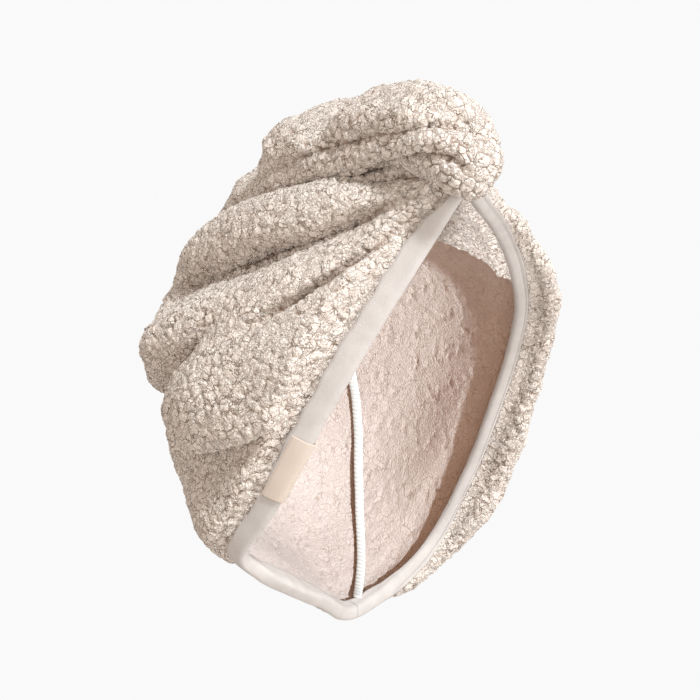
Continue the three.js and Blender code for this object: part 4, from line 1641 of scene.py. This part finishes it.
@dataclass
class Studio:
    """The lamps, the room's glow, the tone behind the part and the floor, in metres."""

    view: View
    hollow: Sequence[bpy.types.Object]
    glow: Colour = (1.0, 0.66, 0.44)
    glow_strength: float = 0.05
    white: Colour = (1.0, 1.0, 1.0)
    white_strength: float = 0.95
    floor_tones: tuple[Colour, Colour] = ((0.9, 0.9, 0.9), (0.93, 0.93, 0.93))
    floor_radius: float = 0.4
    floor_sides: int = 96
    floor_height: float = -0.31
    spot_target: tuple[float, float, float] = (0.0, 10.0, 20.0)
    spot_distance: float = 1.2
    spot_blend: float = 0.4
    spot_radius: float = 0.035

    def make_world(self) -> None:
        """Makes the room: a faint glow, and white where the camera looks past the part."""
        world = bpy.data.worlds.new("studio")
        world.use_nodes = True
        shader = Shader(world.node_tree)
        seen = shader.add("ShaderNodeLightPath").outputs["Is Camera Ray"]
        glow, white = (
            shader.add("ShaderNodeBackground", None, {
                "Color": rgba(colour), "Strength": strength}).outputs[0]
            for colour, strength in ((self.glow, self.glow_strength),
                                     (self.white, self.white_strength)))
        both = shader.add("ShaderNodeMixShader", None, {0: seen, 1: glow, 2: white})
        shader.add("ShaderNodeOutputWorld", None, {"Surface": both.outputs[0]})
        bpy.context.scene.world = world

    def make_floor(self) -> None:
        """Makes the pale floor."""
        build = bmesh.new()
        bmesh.ops.create_circle(build, cap_ends=True, segments=self.floor_sides,
                                radius=self.floor_radius)
        mesh = bpy.data.meshes.new("floor")
        build.to_mesh(mesh)
        build.free()
        floor = link_object("floor", mesh)
        floor.location = (0, 0, self.floor_height)
        material, shader = new_material("pale_floor")
        dust = shader.add("ShaderNodeTexNoise", None, {"Scale": 40.0, "Detail": 3.0})
        first, second = self.floor_tones
        tone = shader.mix(shader.span(dust.outputs["Fac"], 0.3, 0.7), rgba(first), rgba(second))
        last = shader.add("ShaderNodeBsdfPrincipled", None, {
            "Base Color": tone, "Roughness": 0.8})
        shader.add("ShaderNodeOutputMaterial", None, {"Surface": last.outputs[0]})
        mesh.materials.append(material)

    def make_lamp(self, lamp: Lamp, pieces: Sequence[bpy.types.Object]) -> None:
        """Makes a lamp whose light is kept to some pieces, while all of them cast shadows."""
        right, up, back = self.view.basis()
        towards = (right * lamp.right + up * lamp.up + back * lamp.back).normalized()
        data = bpy.data.lights.new(lamp.name, lamp.kind)
        data.energy = lamp.power
        data.color = lamp.colour
        thing = link_object(lamp.name, data)
        thing.rotation_euler = towards.to_track_quat("Z", "Y").to_euler()
        if lamp.kind == "SPOT":
            data.spot_size = math.radians(lamp.spread)
            data.spot_blend = self.spot_blend
            data.shadow_soft_size = self.spot_radius
            target = Vector(place(*self.spot_target) * MM)
            thing.location = target + towards * self.spot_distance
        else:
            data.angle = math.radians(lamp.spread)
        if lamp.lights is Lit.HOLLOW:
            data.cycles.max_bounces = 0
        lit = bpy.data.collections.new(f"lit_by_{lamp.name}")
        for piece in pieces:
            lit.objects.link(piece)
        thing.light_linking.receiver_collection = lit

    def build(self) -> None:
        """Makes the room, the floor and the lamps."""
        self.make_world()
        self.make_floor()
        outer = [thing for thing in bpy.context.scene.objects
                 if thing.type == "MESH" and thing not in self.hollow]
        brow = [thing for thing in outer if thing.name == Piece.BROW.value]
        lit = {Lit.OUTER: outer, Lit.BROW: brow, Lit.HOLLOW: self.hollow}
        for lamp in LAMPS:
            self.make_lamp(lamp, lit[lamp.lights])


def set_colours() -> None:
    """Shows the colours as they are lit, with no film curve."""
    shown = bpy.context.scene.view_settings
    shown.view_transform = "Standard"
    shown.look = "None"
    shown.exposure = 0.0
    shown.gamma = 1.0


def corners(box: object) -> list[list[float]]:
    """The two corners of a box as plain lists."""
    return [[float(v) for v in corner] for corner in box]


def main() -> None:
    """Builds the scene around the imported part."""
    logging.basicConfig(level=logging.INFO, format="%(name)s %(message)s")
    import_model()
    set_colours()
    view = View()
    view.make_camera()
    shop = Workshop(FULL_DETAIL)
    cap = Cap(shop)
    cap.build_outer()
    hollow = cap.build_inner()
    cap.build_brow()
    Tail(shop).build()
    Binding(shop).build()
    Label(shop).build()
    hollow.append(Seam(shop).build())
    Button(shop).build()
    Studio(view, hollow).build()
    bpy.context.view_layer.update()


if __name__ == "__main__":
    main()
